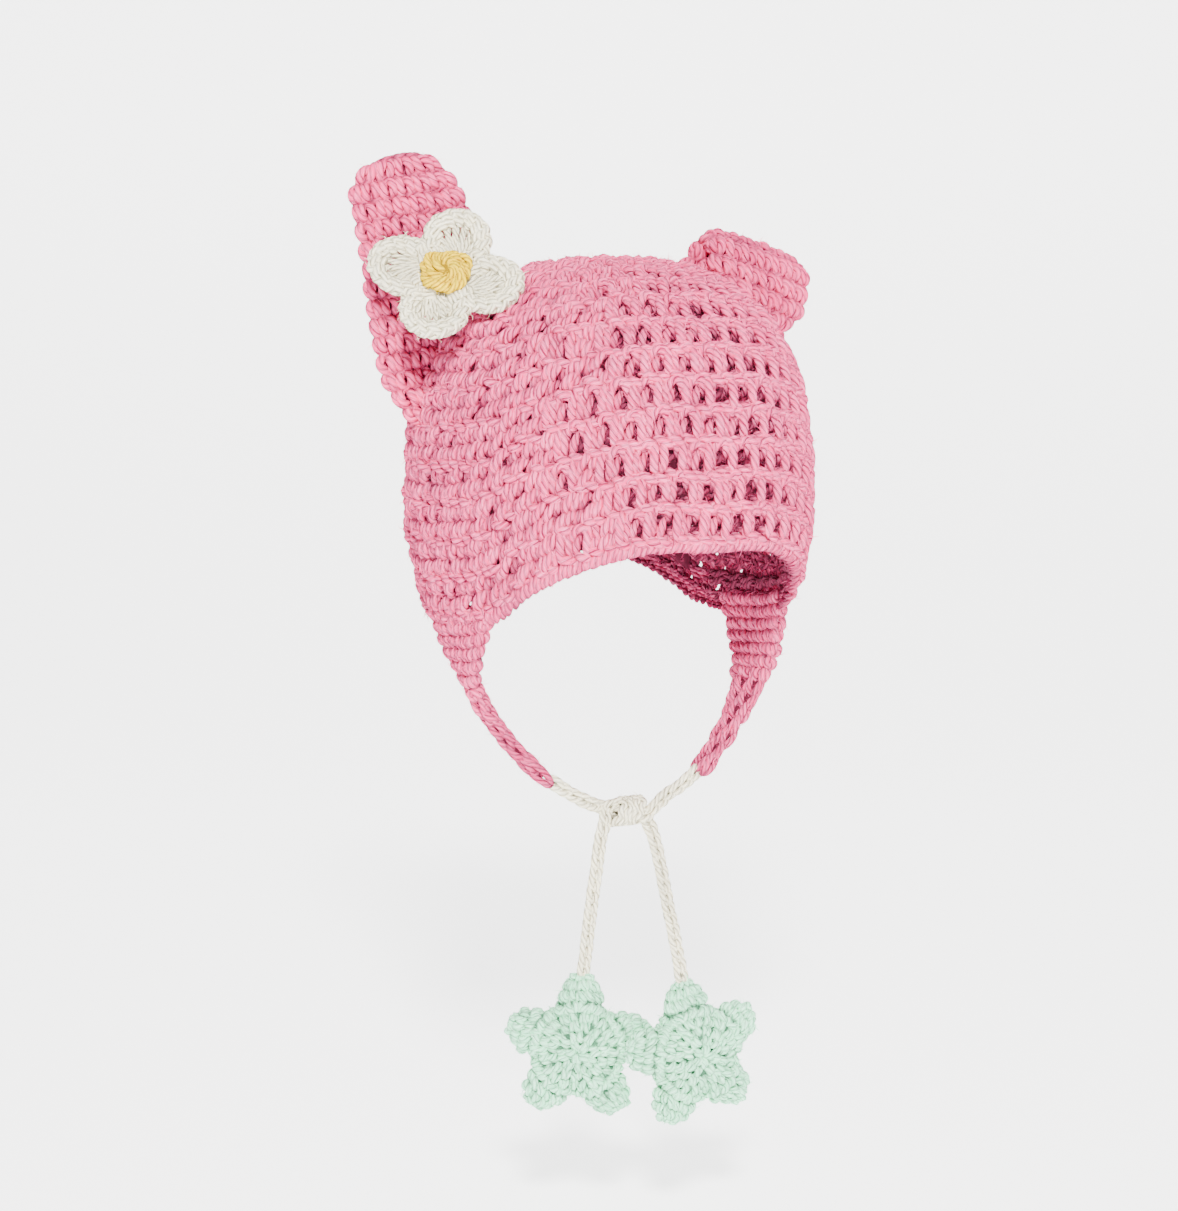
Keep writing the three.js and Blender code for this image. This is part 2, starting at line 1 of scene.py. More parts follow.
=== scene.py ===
# A baby's crocheted hat: every stitch is a strand of yarn laid on the hat's own surfaces.
# Surfaces are worked out in millimetres, with z up and the hat's front towards -y.
import functools
import math

import bpy
import numpy as np
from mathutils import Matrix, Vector


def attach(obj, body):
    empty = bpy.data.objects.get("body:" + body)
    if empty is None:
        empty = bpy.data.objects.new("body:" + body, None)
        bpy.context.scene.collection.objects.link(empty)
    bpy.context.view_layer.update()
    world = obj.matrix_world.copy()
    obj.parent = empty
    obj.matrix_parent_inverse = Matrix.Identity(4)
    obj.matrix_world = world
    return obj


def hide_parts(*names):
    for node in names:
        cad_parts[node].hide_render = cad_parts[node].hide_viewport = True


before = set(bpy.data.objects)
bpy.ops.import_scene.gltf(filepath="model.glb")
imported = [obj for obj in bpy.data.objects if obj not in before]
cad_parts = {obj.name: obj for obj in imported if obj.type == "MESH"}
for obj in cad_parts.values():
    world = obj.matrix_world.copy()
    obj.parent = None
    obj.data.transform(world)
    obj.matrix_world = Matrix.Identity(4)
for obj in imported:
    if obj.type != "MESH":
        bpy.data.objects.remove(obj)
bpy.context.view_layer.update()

MM = 0.001
TURN = 2 * math.pi

def add_object(name, data):
    thing = bpy.data.objects.new(name, data)
    bpy.context.scene.collection.objects.link(thing)
    return thing


# ---- Camera ----
CAMERA_PLACE = (-461.3, -974.0, 86.1)
CAMERA_AZIMUTH = -25  # degrees round from the hat's front
CAMERA_ELEVATION = 6
LENS = 85
SENSOR = 36


def make_camera():
    azimuth, elevation = math.radians(CAMERA_AZIMUTH), math.radians(CAMERA_ELEVATION)
    ahead = Vector((-math.sin(azimuth) * math.cos(elevation),
                    math.cos(azimuth) * math.cos(elevation), -math.sin(elevation)))
    data = bpy.data.cameras.new("camera")
    data.lens = LENS
    data.sensor_width = SENSOR
    data.clip_start = 0.05
    camera = add_object("camera", data)
    camera.location = Vector(CAMERA_PLACE) * MM
    camera.rotation_mode = "QUATERNION"
    camera.rotation_quaternion = ahead.to_track_quat("-Z", "Y")
    bpy.context.scene.camera = camera


make_camera()


# ---- Numbers ----
def cubic(start, rise, slope_in, slope_out, t):
    """A smooth step up from start by rise as t runs 0 to 1, with its slopes at both ends."""
    return start + t * (slope_in + t * (3 * rise - 2 * slope_in - slope_out
                                        + t * (slope_in + slope_out - 2 * rise)))


def spline_through(points, count):
    """A smooth line of count points through control points, evenly spaced in their own order."""
    points = np.asarray(points, float)
    last = len(points) - 1
    place = np.linspace(0, last, count)
    i = np.clip(place.astype(int), 0, last - 1)
    a, b = points[i], points[i + 1]
    return cubic(a, b - a, (b - points[np.maximum(i - 1, 0)]) / 2,
                 (points[np.minimum(i + 2, last)] - a) / 2, (place - i)[:, None])


def read_table(xs, ys, at):
    """A smooth value from a table, one cubic between two rows."""
    xs, ys, at = np.asarray(xs, float), np.asarray(ys, float), np.asarray(at, float)
    i = np.clip(np.searchsorted(xs, at, "right") - 1, 0, len(xs) - 2)
    before, after = np.maximum(i - 1, 0), np.minimum(i + 2, len(xs) - 1)
    span = xs[i + 1] - xs[i]
    return cubic(ys[i], ys[i + 1] - ys[i],
                 (ys[i + 1] - ys[before]) / (xs[i + 1] - xs[before]) * span,
                 (ys[after] - ys[i]) / (xs[after] - xs[i]) * span,
                 np.clip((at - xs[i]) / span, 0, 1))


def unit(vectors):
    return vectors / np.maximum(np.linalg.norm(vectors, axis=-1, keepdims=True), 1e-9)


def smooth_step(value, low, high):
    t = np.clip((value - low) / (high - low), 0, 1)
    return t * t * (3 - 2 * t)


def spaced_evenly(line, count):
    """The line's points again, count of them at equal lengths."""
    steps = np.linalg.norm(np.diff(line, axis=0), axis=1)
    length = np.concatenate([[0], np.cumsum(steps)])
    at = np.linspace(0, length[-1], count)
    return np.stack([np.interp(at, length, line[:, k]) for k in range(3)], axis=1)


def even_ring(ring, count):
    """The same for a ring that closes on its first point."""
    return spaced_evenly(np.vstack([ring, ring[:1]]), count + 1)[:-1]


def line_length(line):
    return float(np.linalg.norm(np.diff(line, axis=0), axis=1).sum())


def read_along(values, share):
    """Values of an even row of points, read between them at shares of the way along."""
    place = np.clip(share, 0, 1) * (len(values) - 1)
    i = np.minimum(place.astype(int), len(values) - 2)
    t = (place - i)[..., None]
    return values[i] * (1 - t) + values[i + 1] * t


# ---- Yarn ----
HAIRS_PER_MM = 0.4  # loose fibres to a millimetre of yarn
HAIR_WIDTH = 0.2  # millimetres, a tuft of fibres, since one is too fine to show
HAIR_TAPER = (1, 0.8, 0.3)
TIP = 0.55  # a strand's thickness at its ends, as a share of the rest


class Skin:
    """A surface as rings of points: a runs 0 to 1 round a ring, b 0 to 1 from ring to ring."""

    def __init__(self, rings, outward=1):
        self.points = np.stack(rings)
        around = np.roll(self.points, -1, axis=1) - np.roll(self.points, 1, axis=1)
        self.normals = unit(np.cross(around, np.gradient(self.points, axis=0))) * outward

    def face_away(self, centre, row):
        """Turns every normal over if those of one row point to a centre."""
        if ((self.points[row] - centre) * self.normals[row]).sum() < 0:
            self.normals *= -1

    def at(self, a, b, out):
        """Points out millimetres off the surface."""
        rows, columns = self.points.shape[:2]
        row, column = np.asarray(b) * (rows - 1), np.asarray(a) * columns
        i = np.clip(np.floor(row).astype(int), 0, rows - 2)
        j = np.floor(column).astype(int)
        s, t = (row - i)[..., None], (column - j)[..., None]
        j, k = j % columns, (j + 1) % columns

        def read(grid):
            low = grid[i, j] * (1 - t) + grid[i, k] * t
            high = grid[i + 1, j] * (1 - t) + grid[i + 1, k] * t
            return low * (1 - s) + high * s

        return read(self.points) + unit(read(self.normals)) * np.asarray(out)[..., None]

    def girth(self, b):
        """The length once around at b."""
        row = self.points[int(round(np.clip(b, 0, 1) * (len(self.points) - 1)))]
        return line_length(np.vstack([row, row[:1]]))


def tube_quads(first, k, sides):
    """Quads between a ring of points, from its first one, and the ring after it."""
    after = (k + 1) % sides
    return np.stack([first + k, first + after, first + sides + after, first + sides + k],
                    axis=-1).reshape(-1, 4)


class Work:
    """Strands and shells that are gathered to become one mesh."""

    def __init__(self, sides, seed, hairs=HAIRS_PER_MM):
        self.sides = sides
        self.hairs = hairs
        self.chance = np.random.default_rng(seed)
        self.points, self.tones, self.depths = [], [], []
        self.loops, self.sizes, self.uvs = [], [], []
        self.count = 0

    def add(self, points, tones, faces, uvs, depths):
        self.points.append(points.reshape(-1, 3))
        self.tones.append(tones.reshape(-1))
        self.depths.append(depths.reshape(-1))
        self.add_faces(faces + self.count, uvs)
        self.count += points.size // 3

    def add_faces(self, faces, uvs):
        self.loops.append(faces.reshape(-1))
        self.sizes.append(np.full(len(faces), faces.shape[1]))
        self.uvs.append(uvs.reshape(-1, 2))

    def lay(self, lines, radius, depth=1.0):
        """Round strands on lines [strand, point, 3], each closed at its ends. The depth runs from
        0 where a strand dives into the fabric to 1 where it lies on top. It darkens the yarn's
        colour with painted shade where low, and only yarn near the top grows loose fibres."""
        lines = np.asarray(lines, float)
        depth = np.broadcast_to(depth, lines.shape[:2])
        strands, count = lines.shape[:2]
        tangent = unit(np.gradient(lines, axis=1))
        side = np.empty_like(tangent)
        least = np.eye(3)[np.abs(tangent[:, 0]).argmin(axis=1)]
        side[:, 0] = unit(np.cross(tangent[:, 0], least))
        for k in range(1, count):
            before = side[:, k - 1]
            lean = (before * tangent[:, k]).sum(axis=1, keepdims=True)
            side[:, k] = unit(before - tangent[:, k] * lean)
        angle = np.arange(self.sides)[:, None] / self.sides * TURN
        ring = (side[:, :, None] * np.cos(angle)
                + np.cross(tangent, side)[:, :, None] * np.sin(angle))
        taper = np.ones((count, 1, 1))
        taper[[0, -1]], taper[[1, -2]] = TIP, (1 + TIP) / 2
        points = lines[:, :, None] + ring * (radius * taper)
        along = np.concatenate([
            np.zeros((strands, 1)),
            np.cumsum(np.linalg.norm(np.diff(lines, axis=1), axis=2), axis=1),
        ], axis=1) + self.chance.random((strands, 1)) * 20
        tones = np.repeat(self.chance.random(strands), count * self.sides)

        strand, step, turn = np.meshgrid(
            np.arange(strands), np.arange(count - 1), np.arange(self.sides), indexing="ij")
        quads = tube_quads((strand * count + step) * self.sides, turn, self.sides)
        here, there = along[strand, step], along[strand, step + 1]
        share, next_share = turn / self.sides, (turn + 1) / self.sides
        uvs = np.stack([np.stack(corner, -1) for corner in (
            (here, share), (here, next_share), (there, next_share), (there, share))], axis=-2)
        first = self.count + np.arange(strands)[:, None] * count * self.sides
        turns = np.arange(self.sides)
        self.add(points, tones, quads, uvs, np.repeat(depth, self.sides))
        for caps, length in ((first + turns[::-1], along[:, 0]),
                             (first + (count - 1) * self.sides + turns, along[:, -1])):
            self.add_faces(caps, np.stack([np.repeat(length, self.sides), np.zeros(caps.size)], -1))
        self.fuzz(lines, ring, radius, tangent, depth)

    def fuzz(self, lines, ring, radius, tangent, depth):
        """Loose fibres that stand off the strands, each a ribbon of two quads."""
        strands, count = lines.shape[:2]
        hairs = int(np.linalg.norm(np.diff(lines, axis=1), axis=2).sum() * self.hairs)
        if not hairs:
            return
        pick = (self.chance.integers(0, strands, hairs), self.chance.integers(1, count - 1, hairs))
        out = ring[pick[0], pick[1], self.chance.integers(0, self.sides, hairs)]
        keep = depth[pick] > 0.5
        pick, out = (pick[0][keep], pick[1][keep]), out[keep]
        hairs = len(out)
        way = tangent[pick] * self.chance.choice([-1, 1], (hairs, 1))
        side = unit(np.cross(way, out))
        curl = side * self.chance.normal(0, 0.5, (hairs, 1))
        reach = self.chance.uniform(0.6, 2.0, (hairs, 1))
        root = lines[pick] + out * radius * 0.85
        line = np.stack([root, root + (out * 0.75 + way * 0.5 + curl * 0.3) * reach,
                         root + (out * 1.15 + way * 1.4 + curl) * reach], 1)
        wide = (side + self.chance.normal(0, 0.4, (hairs, 3)))[:, None] * (
            np.multiply(HAIR_WIDTH, HAIR_TAPER)[:, None]) / 2
        points = np.stack([line - wide, line + wide], 2)
        start = np.arange(hairs)[:, None] * 6
        quads = np.concatenate([start + (0, 1, 3, 2), start + (2, 3, 5, 4)])
        self.add(points, np.repeat(self.chance.random(hairs), 6), quads,
                 np.full((quads.size, 2), 0.5), np.ones(hairs * 6))

    def shell(self, rings):
        """A closed body from rings [ring, point, 3], with its two ends closed. It is given depth 0,
        so its colour takes the full painted shade of buried yarn.
        """
        rows, count = rings.shape[:2]
        ring, k = np.meshgrid(np.arange(rows - 1), np.arange(count), indexing="ij")
        quads = tube_quads(ring * count, k, count)
        ends = self.count + np.arange(count)
        self.add(rings, np.full(rows * count, 0.2), quads, np.zeros((quads.size, 2)),
                 np.zeros(rows * count))
        for face in (ends[::-1], ends + (rows - 1) * count):
            self.add_faces(face[None], np.zeros((count, 2)))

    def piece(self, name, yarn, *nodes):
        """The gathered strands as one object, in a yarn, in place of the CAD nodes."""
        points = np.concatenate(self.points) * MM
        loops = np.concatenate(self.loops).astype(np.int32)
        sizes = np.concatenate(self.sizes).astype(np.int32)
        mesh = bpy.data.meshes.new(name)
        mesh.vertices.add(len(points))
        mesh.vertices.foreach_set("co", points.astype(np.float32).ravel())
        mesh.loops.add(len(loops))
        mesh.loops.foreach_set("vertex_index", loops)
        mesh.polygons.add(len(sizes))
        mesh.polygons.foreach_set("loop_start", np.cumsum(sizes, dtype=np.int32) - sizes)
        mesh.polygons.foreach_set("use_smooth", np.ones(len(sizes), bool))
        mesh.update(calc_edges=True)
        uv = mesh.uv_layers.new(name="yarn")
        uv.data.foreach_set("uv", np.concatenate(self.uvs).astype(np.float32).ravel())
        # The depth attribute carries the painted shade of buried yarn to the material.
        for key, values in (("tone", self.tones), ("depth", self.depths)):
            attribute = mesh.attributes.new(key, "FLOAT", "POINT")
            attribute.data.foreach_set("value", np.concatenate(values).astype(np.float32))
        mesh.materials.append(YARNS[yarn])
        piece = add_object(name, mesh)
        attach(piece, "root")
        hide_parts(*nodes)
        return piece


def cells_in_row(count, low, shift=0.0):
    """The corners of a row of cells that starts shift cells round and low along the skin."""
    return np.stack([(np.arange(count) + shift) / count, np.full(count, low)], 1)


def crochet(work, skin, corners, size, stitch, radius, steps, wander=0.03, mid=0.0, keep=None,
            buried=(-1.4, 2.4)):
    """Lays one stitch in each cell. corners are [cell, (a, b)], size is a cell's (a, b) extent,
    wander a strand's stray, and mid the height of a stitch's middle over the skin. A strand is
    buried at the first of two heights and lies open at the second, and its colour is darkened
    with painted shade, most where it is buried."""
    if keep:
        middles = corners + np.array(size) / 2
        corners = corners[keep(skin.at(*middles.T, np.zeros(len(corners))))]
    if not len(corners):
        return
    for strand in stitch:
        shape = spline_through(strand, steps)
        shift = work.chance.normal(0, 1, (len(corners), 1, 3)) * (wander, wander, wander * 7)
        cell = shape[None] + shift
        a, b = np.moveaxis(corners[:, None] + cell[..., :2] * size, 2, 0)
        work.lay(skin.at(a, b, cell[..., 2] + mid), radius, smooth_step(cell[..., 2], *buried))


# ---- The crown's surface, the same as its solid's ----
CROWN_HALF_WIDTH = 72.5
CROWN_HALF_DEPTH = 89
CROWN_TOP = 102.5
CROWN_WIDEST = 8
CROWN_SQUARENESS = 2.75
CROWN_PULL_IN = 0.09
CROWN_ROWS = 13
SKIN_RIM = 1.03  # where its skin ends, with 1 at the rim
FABRIC = 5.5
RIM_FRONT = 4.5
RIM_DROP = 31
RIM_TURN = (0, 18, 34, 48, 57, 65, 80, 114, 134, 156, 180)
RIM_FALL = (0, 0.01, 0.17, 0.41, 0.62, 0.84, 1, 1, 0.62, 0.36, 0.3)
FLAP_LENGTH = 63
LOWEST = RIM_FRONT - RIM_DROP


def girth_at(height):
    rise = np.clip((height - CROWN_WIDEST) / (CROWN_TOP - CROWN_WIDEST), 0, 1)
    fall = np.clip((CROWN_WIDEST - height) / (CROWN_WIDEST - LOWEST), 0, None)
    dome = (1 - rise ** CROWN_SQUARENESS) ** (1 / CROWN_SQUARENESS)
    return np.where(height >= CROWN_WIDEST, dome, 1 - CROWN_PULL_IN * fall ** 1.3)


def meridian():
    """Length, height and girth down the crown from its apex."""
    angle = np.linspace(0, math.pi / 2, 401)
    rise = np.cos(angle).clip(0) ** (2 / CROWN_SQUARENESS)
    dome_height = CROWN_WIDEST + (CROWN_TOP - CROWN_WIDEST) * rise
    dome_girth = np.sin(angle) ** (2 / CROWN_SQUARENESS)
    low = np.linspace(CROWN_WIDEST, LOWEST - FLAP_LENGTH, 401)[1:]
    height = np.concatenate([dome_height, low])
    girth = np.concatenate([dome_girth, girth_at(low)])
    radius = (CROWN_HALF_WIDTH + CROWN_HALF_DEPTH) / 2
    step = np.hypot(np.diff(girth) * radius, np.diff(height))
    return np.concatenate([[0], np.cumsum(step)]), height, girth


LENGTHS, HEIGHTS, GIRTHS = meridian()


def rim_height(turn):
    from_front = np.abs((np.asarray(turn) + 540) % 360 - 180)
    return RIM_FRONT - RIM_DROP * read_table(RIM_TURN, RIM_FALL, from_front)


def length_at(height):
    return np.interp(-np.asarray(height), -HEIGHTS, LENGTHS)


def on_meridian(length):
    return np.interp(length, LENGTHS, GIRTHS), np.interp(length, LENGTHS, HEIGHTS)


def crown_point(turn, length, outward=0.0):
    """A point on the crown's outside: degrees from the front and the length from the apex."""
    angle = np.radians(turn)
    girth, height = on_meridian(length)
    grow, drop = np.subtract(on_meridian(length + 0.5), on_meridian(np.maximum(length - 0.5, 0)))
    sin, cos = np.sin(angle), np.cos(angle)
    across = np.stack([CROWN_HALF_WIDTH * cos, CROWN_HALF_DEPTH * sin, 0 * sin], -1)
    along = np.stack([CROWN_HALF_WIDTH * sin * grow, -CROWN_HALF_DEPTH * cos * grow, drop], -1)
    normal = unit(np.cross(along, across))
    point = np.stack([CROWN_HALF_WIDTH * girth * sin, -CROWN_HALF_DEPTH * girth * cos,
                      height + 0 * sin], -1)
    return point + normal * outward


def outside_crown(points, margin):
    """Which points lie outside the crown, give or take a margin in millimetres."""
    reach = np.hypot(points[..., 0] / CROWN_HALF_WIDTH, points[..., 1] / CROWN_HALF_DEPTH)
    allowed = girth_at(points[..., 2]) - margin / CROWN_HALF_WIDTH
    return (reach > allowed) | (points[..., 2] > CROWN_TOP - margin)


def crown_skin():
    turn = np.linspace(0, 360, 360, endpoint=False)
    rim = length_at(rim_height(turn))
    share = np.linspace(0.004, SKIN_RIM, 260)
    return Skin([crown_point(turn, s * rim) for s in share], outward=-1)


# ---- Stitches: each strand's points are (across, up, out), shares of the cell and millimetres ----
TALL_STITCH = [
    [(0.16, -0.1, 0.2), (0.05, 0.12, 2), (0.04, 0.4, 2.9), (0.07, 0.68, 2.7),
     (0.12, 0.92, 1.6), (0.22, 1.08, -0.6)],
    [(0.04, -0.06, -0.8), (0.19, 0.14, 0.9), (0.25, 0.42, 1.7), (0.24, 0.7, 1.5),
     (0.25, 0.92, 0.9), (0.36, 1.04, -0.8)],
    [(0.3, 0.46, -1), (0.32, 0.7, 0.8), (0.43, 0.9, 2), (0.62, 0.99, 2.5),
     (0.82, 0.92, 2.3), (0.92, 0.7, 1.2), (0.93, 0.42, -0.9)],
    [(-0.16, 0.2, -0.7), (0.02, 0.12, 1.4), (0.26, 0.01, 2.9), (0.5, -0.11, 1.5),
     (0.64, -0.18, -0.7)],
    [(0.36, 0.16, -0.7), (0.54, 0.09, 1.2), (0.76, -0.03, 2.6), (1, -0.13, 1.3),
     (1.14, -0.18, -0.7)],
    [(-0.05, 0.5, -1.8), (0.25, 0.6, -2), (0.6, 0.5, -2), (1, 0.58, -1.8)],
]
FILLING = [
    [(0.46, -0.04, -0.6), (0.5, 0.2, 0.9), (0.57, 0.46, 1.5), (0.7, 0.72, 1)],
    [(-0.05, 0.3, -1.6), (0.3, 0.4, -1.9), (0.65, 0.28, -1.9), (1.05, 0.38, -1.6)],
]
DENSE_STITCH = [
    [(0.04, -0.15, -1), (0.1, 0.15, 1.2), (0.24, 0.52, 2.6), (0.42, 0.88, 1.7),
     (0.52, 1.1, -0.8)],
    [(0.3, -0.12, -1), (0.38, 0.15, 1.3), (0.54, 0.48, 2.4), (0.72, 0.8, 1.6),
     (0.86, 1.04, -0.8)],
    [(0.64, -0.1, -1.4), (0.7, 0.15, 0.2), (0.84, 0.45, 1), (1, 0.72, 0.4),
     (1.08, 0.9, -1.4)],
]
SHORT_STITCH = [
    [(0.48, 0, -1.6), (0.27, 0.13, 0.8), (0.2, 0.42, 2), (0.25, 0.72, 1.5),
     (0.44, 0.92, -1.4)],
    [(0.54, 0.02, -1.6), (0.74, 0.15, 0.6), (0.81, 0.44, 1.8), (0.76, 0.72, 1.3),
     (0.58, 0.9, -1.4)],
    [(-0.1, 0.94, -0.9), (0.22, 1, 0.2), (0.6, 0.95, 0.3), (0.92, 0.88, -0.9)],
]
STRAP_STITCH = [
    [(0.5, -0.3, -0.7), (0.3, 0.05, 0.9), (0.12, 0.55, 1.4), (0.06, 1, 0.9),
     (0.2, 1.35, -0.6)],
    [(0.55, -0.3, -0.7), (0.78, 0.05, 0.9), (0.94, 0.55, 1.4), (0.98, 1, 0.9),
     (0.84, 1.35, -0.6)],
]
SMALL_STITCH = [
    [(0.5, -0.1, -1), (0.32, 0.14, 0.4), (0.16, 0.48, 0.9), (0.14, 0.8, 0.4),
     (0.24, 1.02, -1)],
    [(0.56, -0.1, -1), (0.76, 0.14, 0.4), (0.88, 0.48, 0.9), (0.86, 0.8, 0.4),
     (0.74, 1.02, -1)],
]
EDGE_STITCH = [
    [(-0.3, 0.05, -0.8), (0.02, 0.25, 1.2), (0.4, 0.55, 1.7), (0.78, 0.85, 0.9),
     (1.02, 1, -0.9)],
    [(0.2, 0.05, -0.8), (0.52, 0.25, 1.2), (0.9, 0.55, 1.7), (1.28, 0.85, 0.9),
     (1.52, 1, -0.9)],
]


# ---- Materials ----
def linear(code):
    """An sRGB hex colour as linear red, green, blue and alpha."""
    parts = [int(code[k:k + 2], 16) / 255 for k in (1, 3, 5)]
    return (*[p / 12.92 if p <= 0.04045 else ((p + 0.055) / 1.055) ** 2.4 for p in parts], 1)


def add_node(tree, kind, settings):
    """A shader node with its settings. A key is a property, or else a socket. A value is a
    constant, or what the socket is linked from: another socket, or a node's first output."""
    node = tree.nodes.new("ShaderNode" + kind)
    for key, value in settings.items():
        source = value.outputs[0] if isinstance(value, bpy.types.Node) else value
        if isinstance(source, bpy.types.NodeSocket):
            tree.links.new(source, node.inputs[key])
        elif isinstance(key, str) and hasattr(node, key):
            setattr(node, key, value)
        else:
            node.inputs[key].default_value = value
    return node


PLIES = 3  # strands twisted into the yarn
PLY_PITCH = 9.0  # millimetres of yarn for one full turn of a ply
FIBRES_TO_A_PLY = 9.0  # streaks across a ply, about 0.4 mm each
STREAKS_PER_MM = 0.25  # and along it, 4 mm each
PATCHES_PER_METRE = 55.0  # uneven dye, in patches of about 18 mm


def acrylic_yarn(name, groove_shade, main, light, sheen=0.08, bump=1.1, buried_shade_floor=0.25):
    """Spun acrylic yarn, plied and slightly fuzzy: matt, with a soft bloom where it turns away.
    Its first colour is painted shade for the grooves between its plies, the second its own colour,
    and the third a painted highlight on its fibres, also its sheen's tint. bump is the relief of
    its plies in millimetres, and the last argument how light buried yarn stays under painted shade."""
    material = bpy.data.materials.new(name)
    material.use_nodes = True
    material.node_tree.nodes.clear()
    node = functools.partial(add_node, material.node_tree)

    parts = node("SeparateXYZ", {0: node("UVMap", {"uv_map": "yarn"})})
    along, around = parts.outputs[0], parts.outputs[1]
    tone = node("Attribute", {"attribute_name": "tone"}).outputs["Fac"]
    depth = node("Attribute", {"attribute_name": "depth"}).outputs["Fac"]
    turned = node("Math", {"operation": "MULTIPLY", 0: along, 1: PLIES / PLY_PITCH})
    ply = node("Math", {"operation": "MULTIPLY_ADD", 0: around, 1: float(PLIES), 2: turned})
    angle = node("Math", {"operation": "MULTIPLY", 0: ply, 1: math.pi})
    wave = node("Math", {"operation": "SINE", 0: angle})
    ridge = node("Math", {"operation": "ABSOLUTE", 0: wave})

    # Fibres are streaks that follow the plies, and each strand has its own.
    streak = node("Math", {"operation": "MULTIPLY", 0: along, 1: STREAKS_PER_MM})
    across = node("Math", {"operation": "MULTIPLY", 0: ply, 1: FIBRES_TO_A_PLY})
    strand = node("Math", {"operation": "MULTIPLY", 0: tone, 1: 37.0})
    place = node("CombineXYZ", {0: streak, 1: across, 2: strand})
    fibre = node("TexNoise", {"Vector": place, "Scale": 1.0, "Detail": 3.0})
    patch = node("TexNoise", {"Vector": node("TexCoord", {}).outputs["Object"],
                              "Scale": PATCHES_PER_METRE, "Detail": 1.0})

    # Painted shade in the grooves between the plies: the colour darkens to the groove shade there.
    groove_shade_share = node("MapRange", {0: ridge, 1: 0.05, 2: 0.6})
    body = node("Mix", {"data_type": "RGBA", 0: groove_shade_share, 6: linear(groove_shade), 7: linear(main)})
    # Painted highlight: the fibre streaks that stand out are lightened towards the light colour.
    fibre_highlight_share = node("MapRange", {0: fibre, 1: 0.4, 2: 0.66, 4: 0.9})
    lit = node("Mix", {"data_type": "RGBA", 0: fibre_highlight_share, 6: body.outputs[2], 7: linear(light)})
    patch_shade = node("MapRange", {0: patch, 1: 0.3, 2: 0.7, 3: 0.9, 4: 1.06})
    strand_shade = node("MapRange", {0: tone, 3: 0.93, 4: 1.04})
    shade = node("Math", {"operation": "MULTIPLY", 0: patch_shade, 1: strand_shade})
    # Painted shade: yarn that dives into the fabric is darkened in its colour, standing in for the
    # shade that the fibres round it cast.
    buried = node("MapRange", {0: depth, 3: buried_shade_floor})
    value = node("Math", {"operation": "MULTIPLY", 0: shade, 1: buried})
    coloured = node("HueSaturation", {"Value": value, "Color": lit.outputs[2]})
    height = node("Math", {"operation": "MULTIPLY_ADD", 0: fibre, 1: 0.45, 2: ridge})
    relief = node("Bump", {"Height": height, "Strength": 1.0, "Distance": bump * MM})
    shader = node("BsdfPrincipled", {
        "Base Color": coloured, "Normal": relief, "Roughness": 0.9, "Specular IOR Level": 0.05,
        "Sheen Weight": sheen, "Sheen Roughness": 0.45, "Sheen Tint": linear(light)})
    node("OutputMaterial", {"Surface": shader})
    return material


# Each yarn: painted shade between its plies, its own colour, and a painted highlight; some keep
# more of their colour under the painted shade of buried yarn.
YARNS = {
    "pink_yarn": acrylic_yarn("pink_acrylic_yarn", "#900E3C", "#EE3878", "#FF80AC"),
    "ear_yarn": acrylic_yarn("deep_pink_acrylic_yarn", "#A21244", "#F43C7C", "#FF74A2"),
    "white_yarn": acrylic_yarn("off_white_acrylic_yarn", "#C4B488", "#F8EFCC", "#FFFCE8", buried_shade_floor=0.5),
    "yellow_yarn": acrylic_yarn("yellow_acrylic_yarn", "#CC9A00", "#FCCE00", "#FFE000", sheen=0.0,
                                buried_shade_floor=0.4),
    "mint_yarn": acrylic_yarn("mint_acrylic_yarn", "#469E70", "#92E8B6", "#CFFFE0", bump=0.5,
                              buried_shade_floor=0.4),
}


# ---- Tie cords, first in the making: a crocheted chain from a strap's end to a star ----
CHIN = [(30.6, -16.2, -89.5), (27.6, -16.6, -92.0), (24.0, -16.8, -94.4),
        (20.2, -17.0, -96.6), (16.4, -17.0, -98.6)]  # the chin stretch at the right
LEFT_DROP = [(-8.8, -16.8, -107.1), (-9.9, -16.3, -111.4), (-10.7, -15.7, -117.4),
             (-11.3, -14.9, -124.0), (-11.9, -13.8, -132.0), (-12.5, -12.4, -141.0),
             (-13.0, -10.9, -150.0), (-13.5, -9.4, -159.0), (-13.8, -8.2, -166.2)]
RIGHT_DROP = [(8.6, -17.2, -107.3), (10.5, -17.7, -111.6), (11.9, -18.4, -117.4),
              (13.1, -19.3, -124.0), (14.3, -20.4, -132.0), (15.6, -21.8, -141.0),
              (16.9, -23.3, -150.0), (18.1, -24.7, -159.0), (19.3, -26.1, -168.4)]
KNOT_MIDDLE = (0, -17, -103.2)
KNOT_HALF = 10.0  # how far it reaches to each side
KNOT_TWIST = 2.6  # how far the cords in it lie from its middle line
CHAIN_LINK = 4.4  # millimetres of cord for one chain stitch
CHAIN_YARN = 1.25  # the yarn's radius
CHAIN_SPREAD = 1.05
CHAIN_FRONT = (0, -1, 0.01)
CHAIN_LEG = [(0.1, -0.9, -0.45), (-0.9, 0.2, -0.15), (-1.45, 0.9, 0.3), (-1.35, 1.0, 0.75),
             (-0.6, 0.5, 1.15), (0.0, -0.7, 1.35)]  # across, front, share of a link along
CHAIN = [CHAIN_LEG, [(-x, y, z) for x, y, z in CHAIN_LEG],
         [(0.3, -0.2, -0.2), (0.1, -1.4, 0.15), (-0.1, -1.4, 0.65), (-0.3, -0.2, 1.0)]]


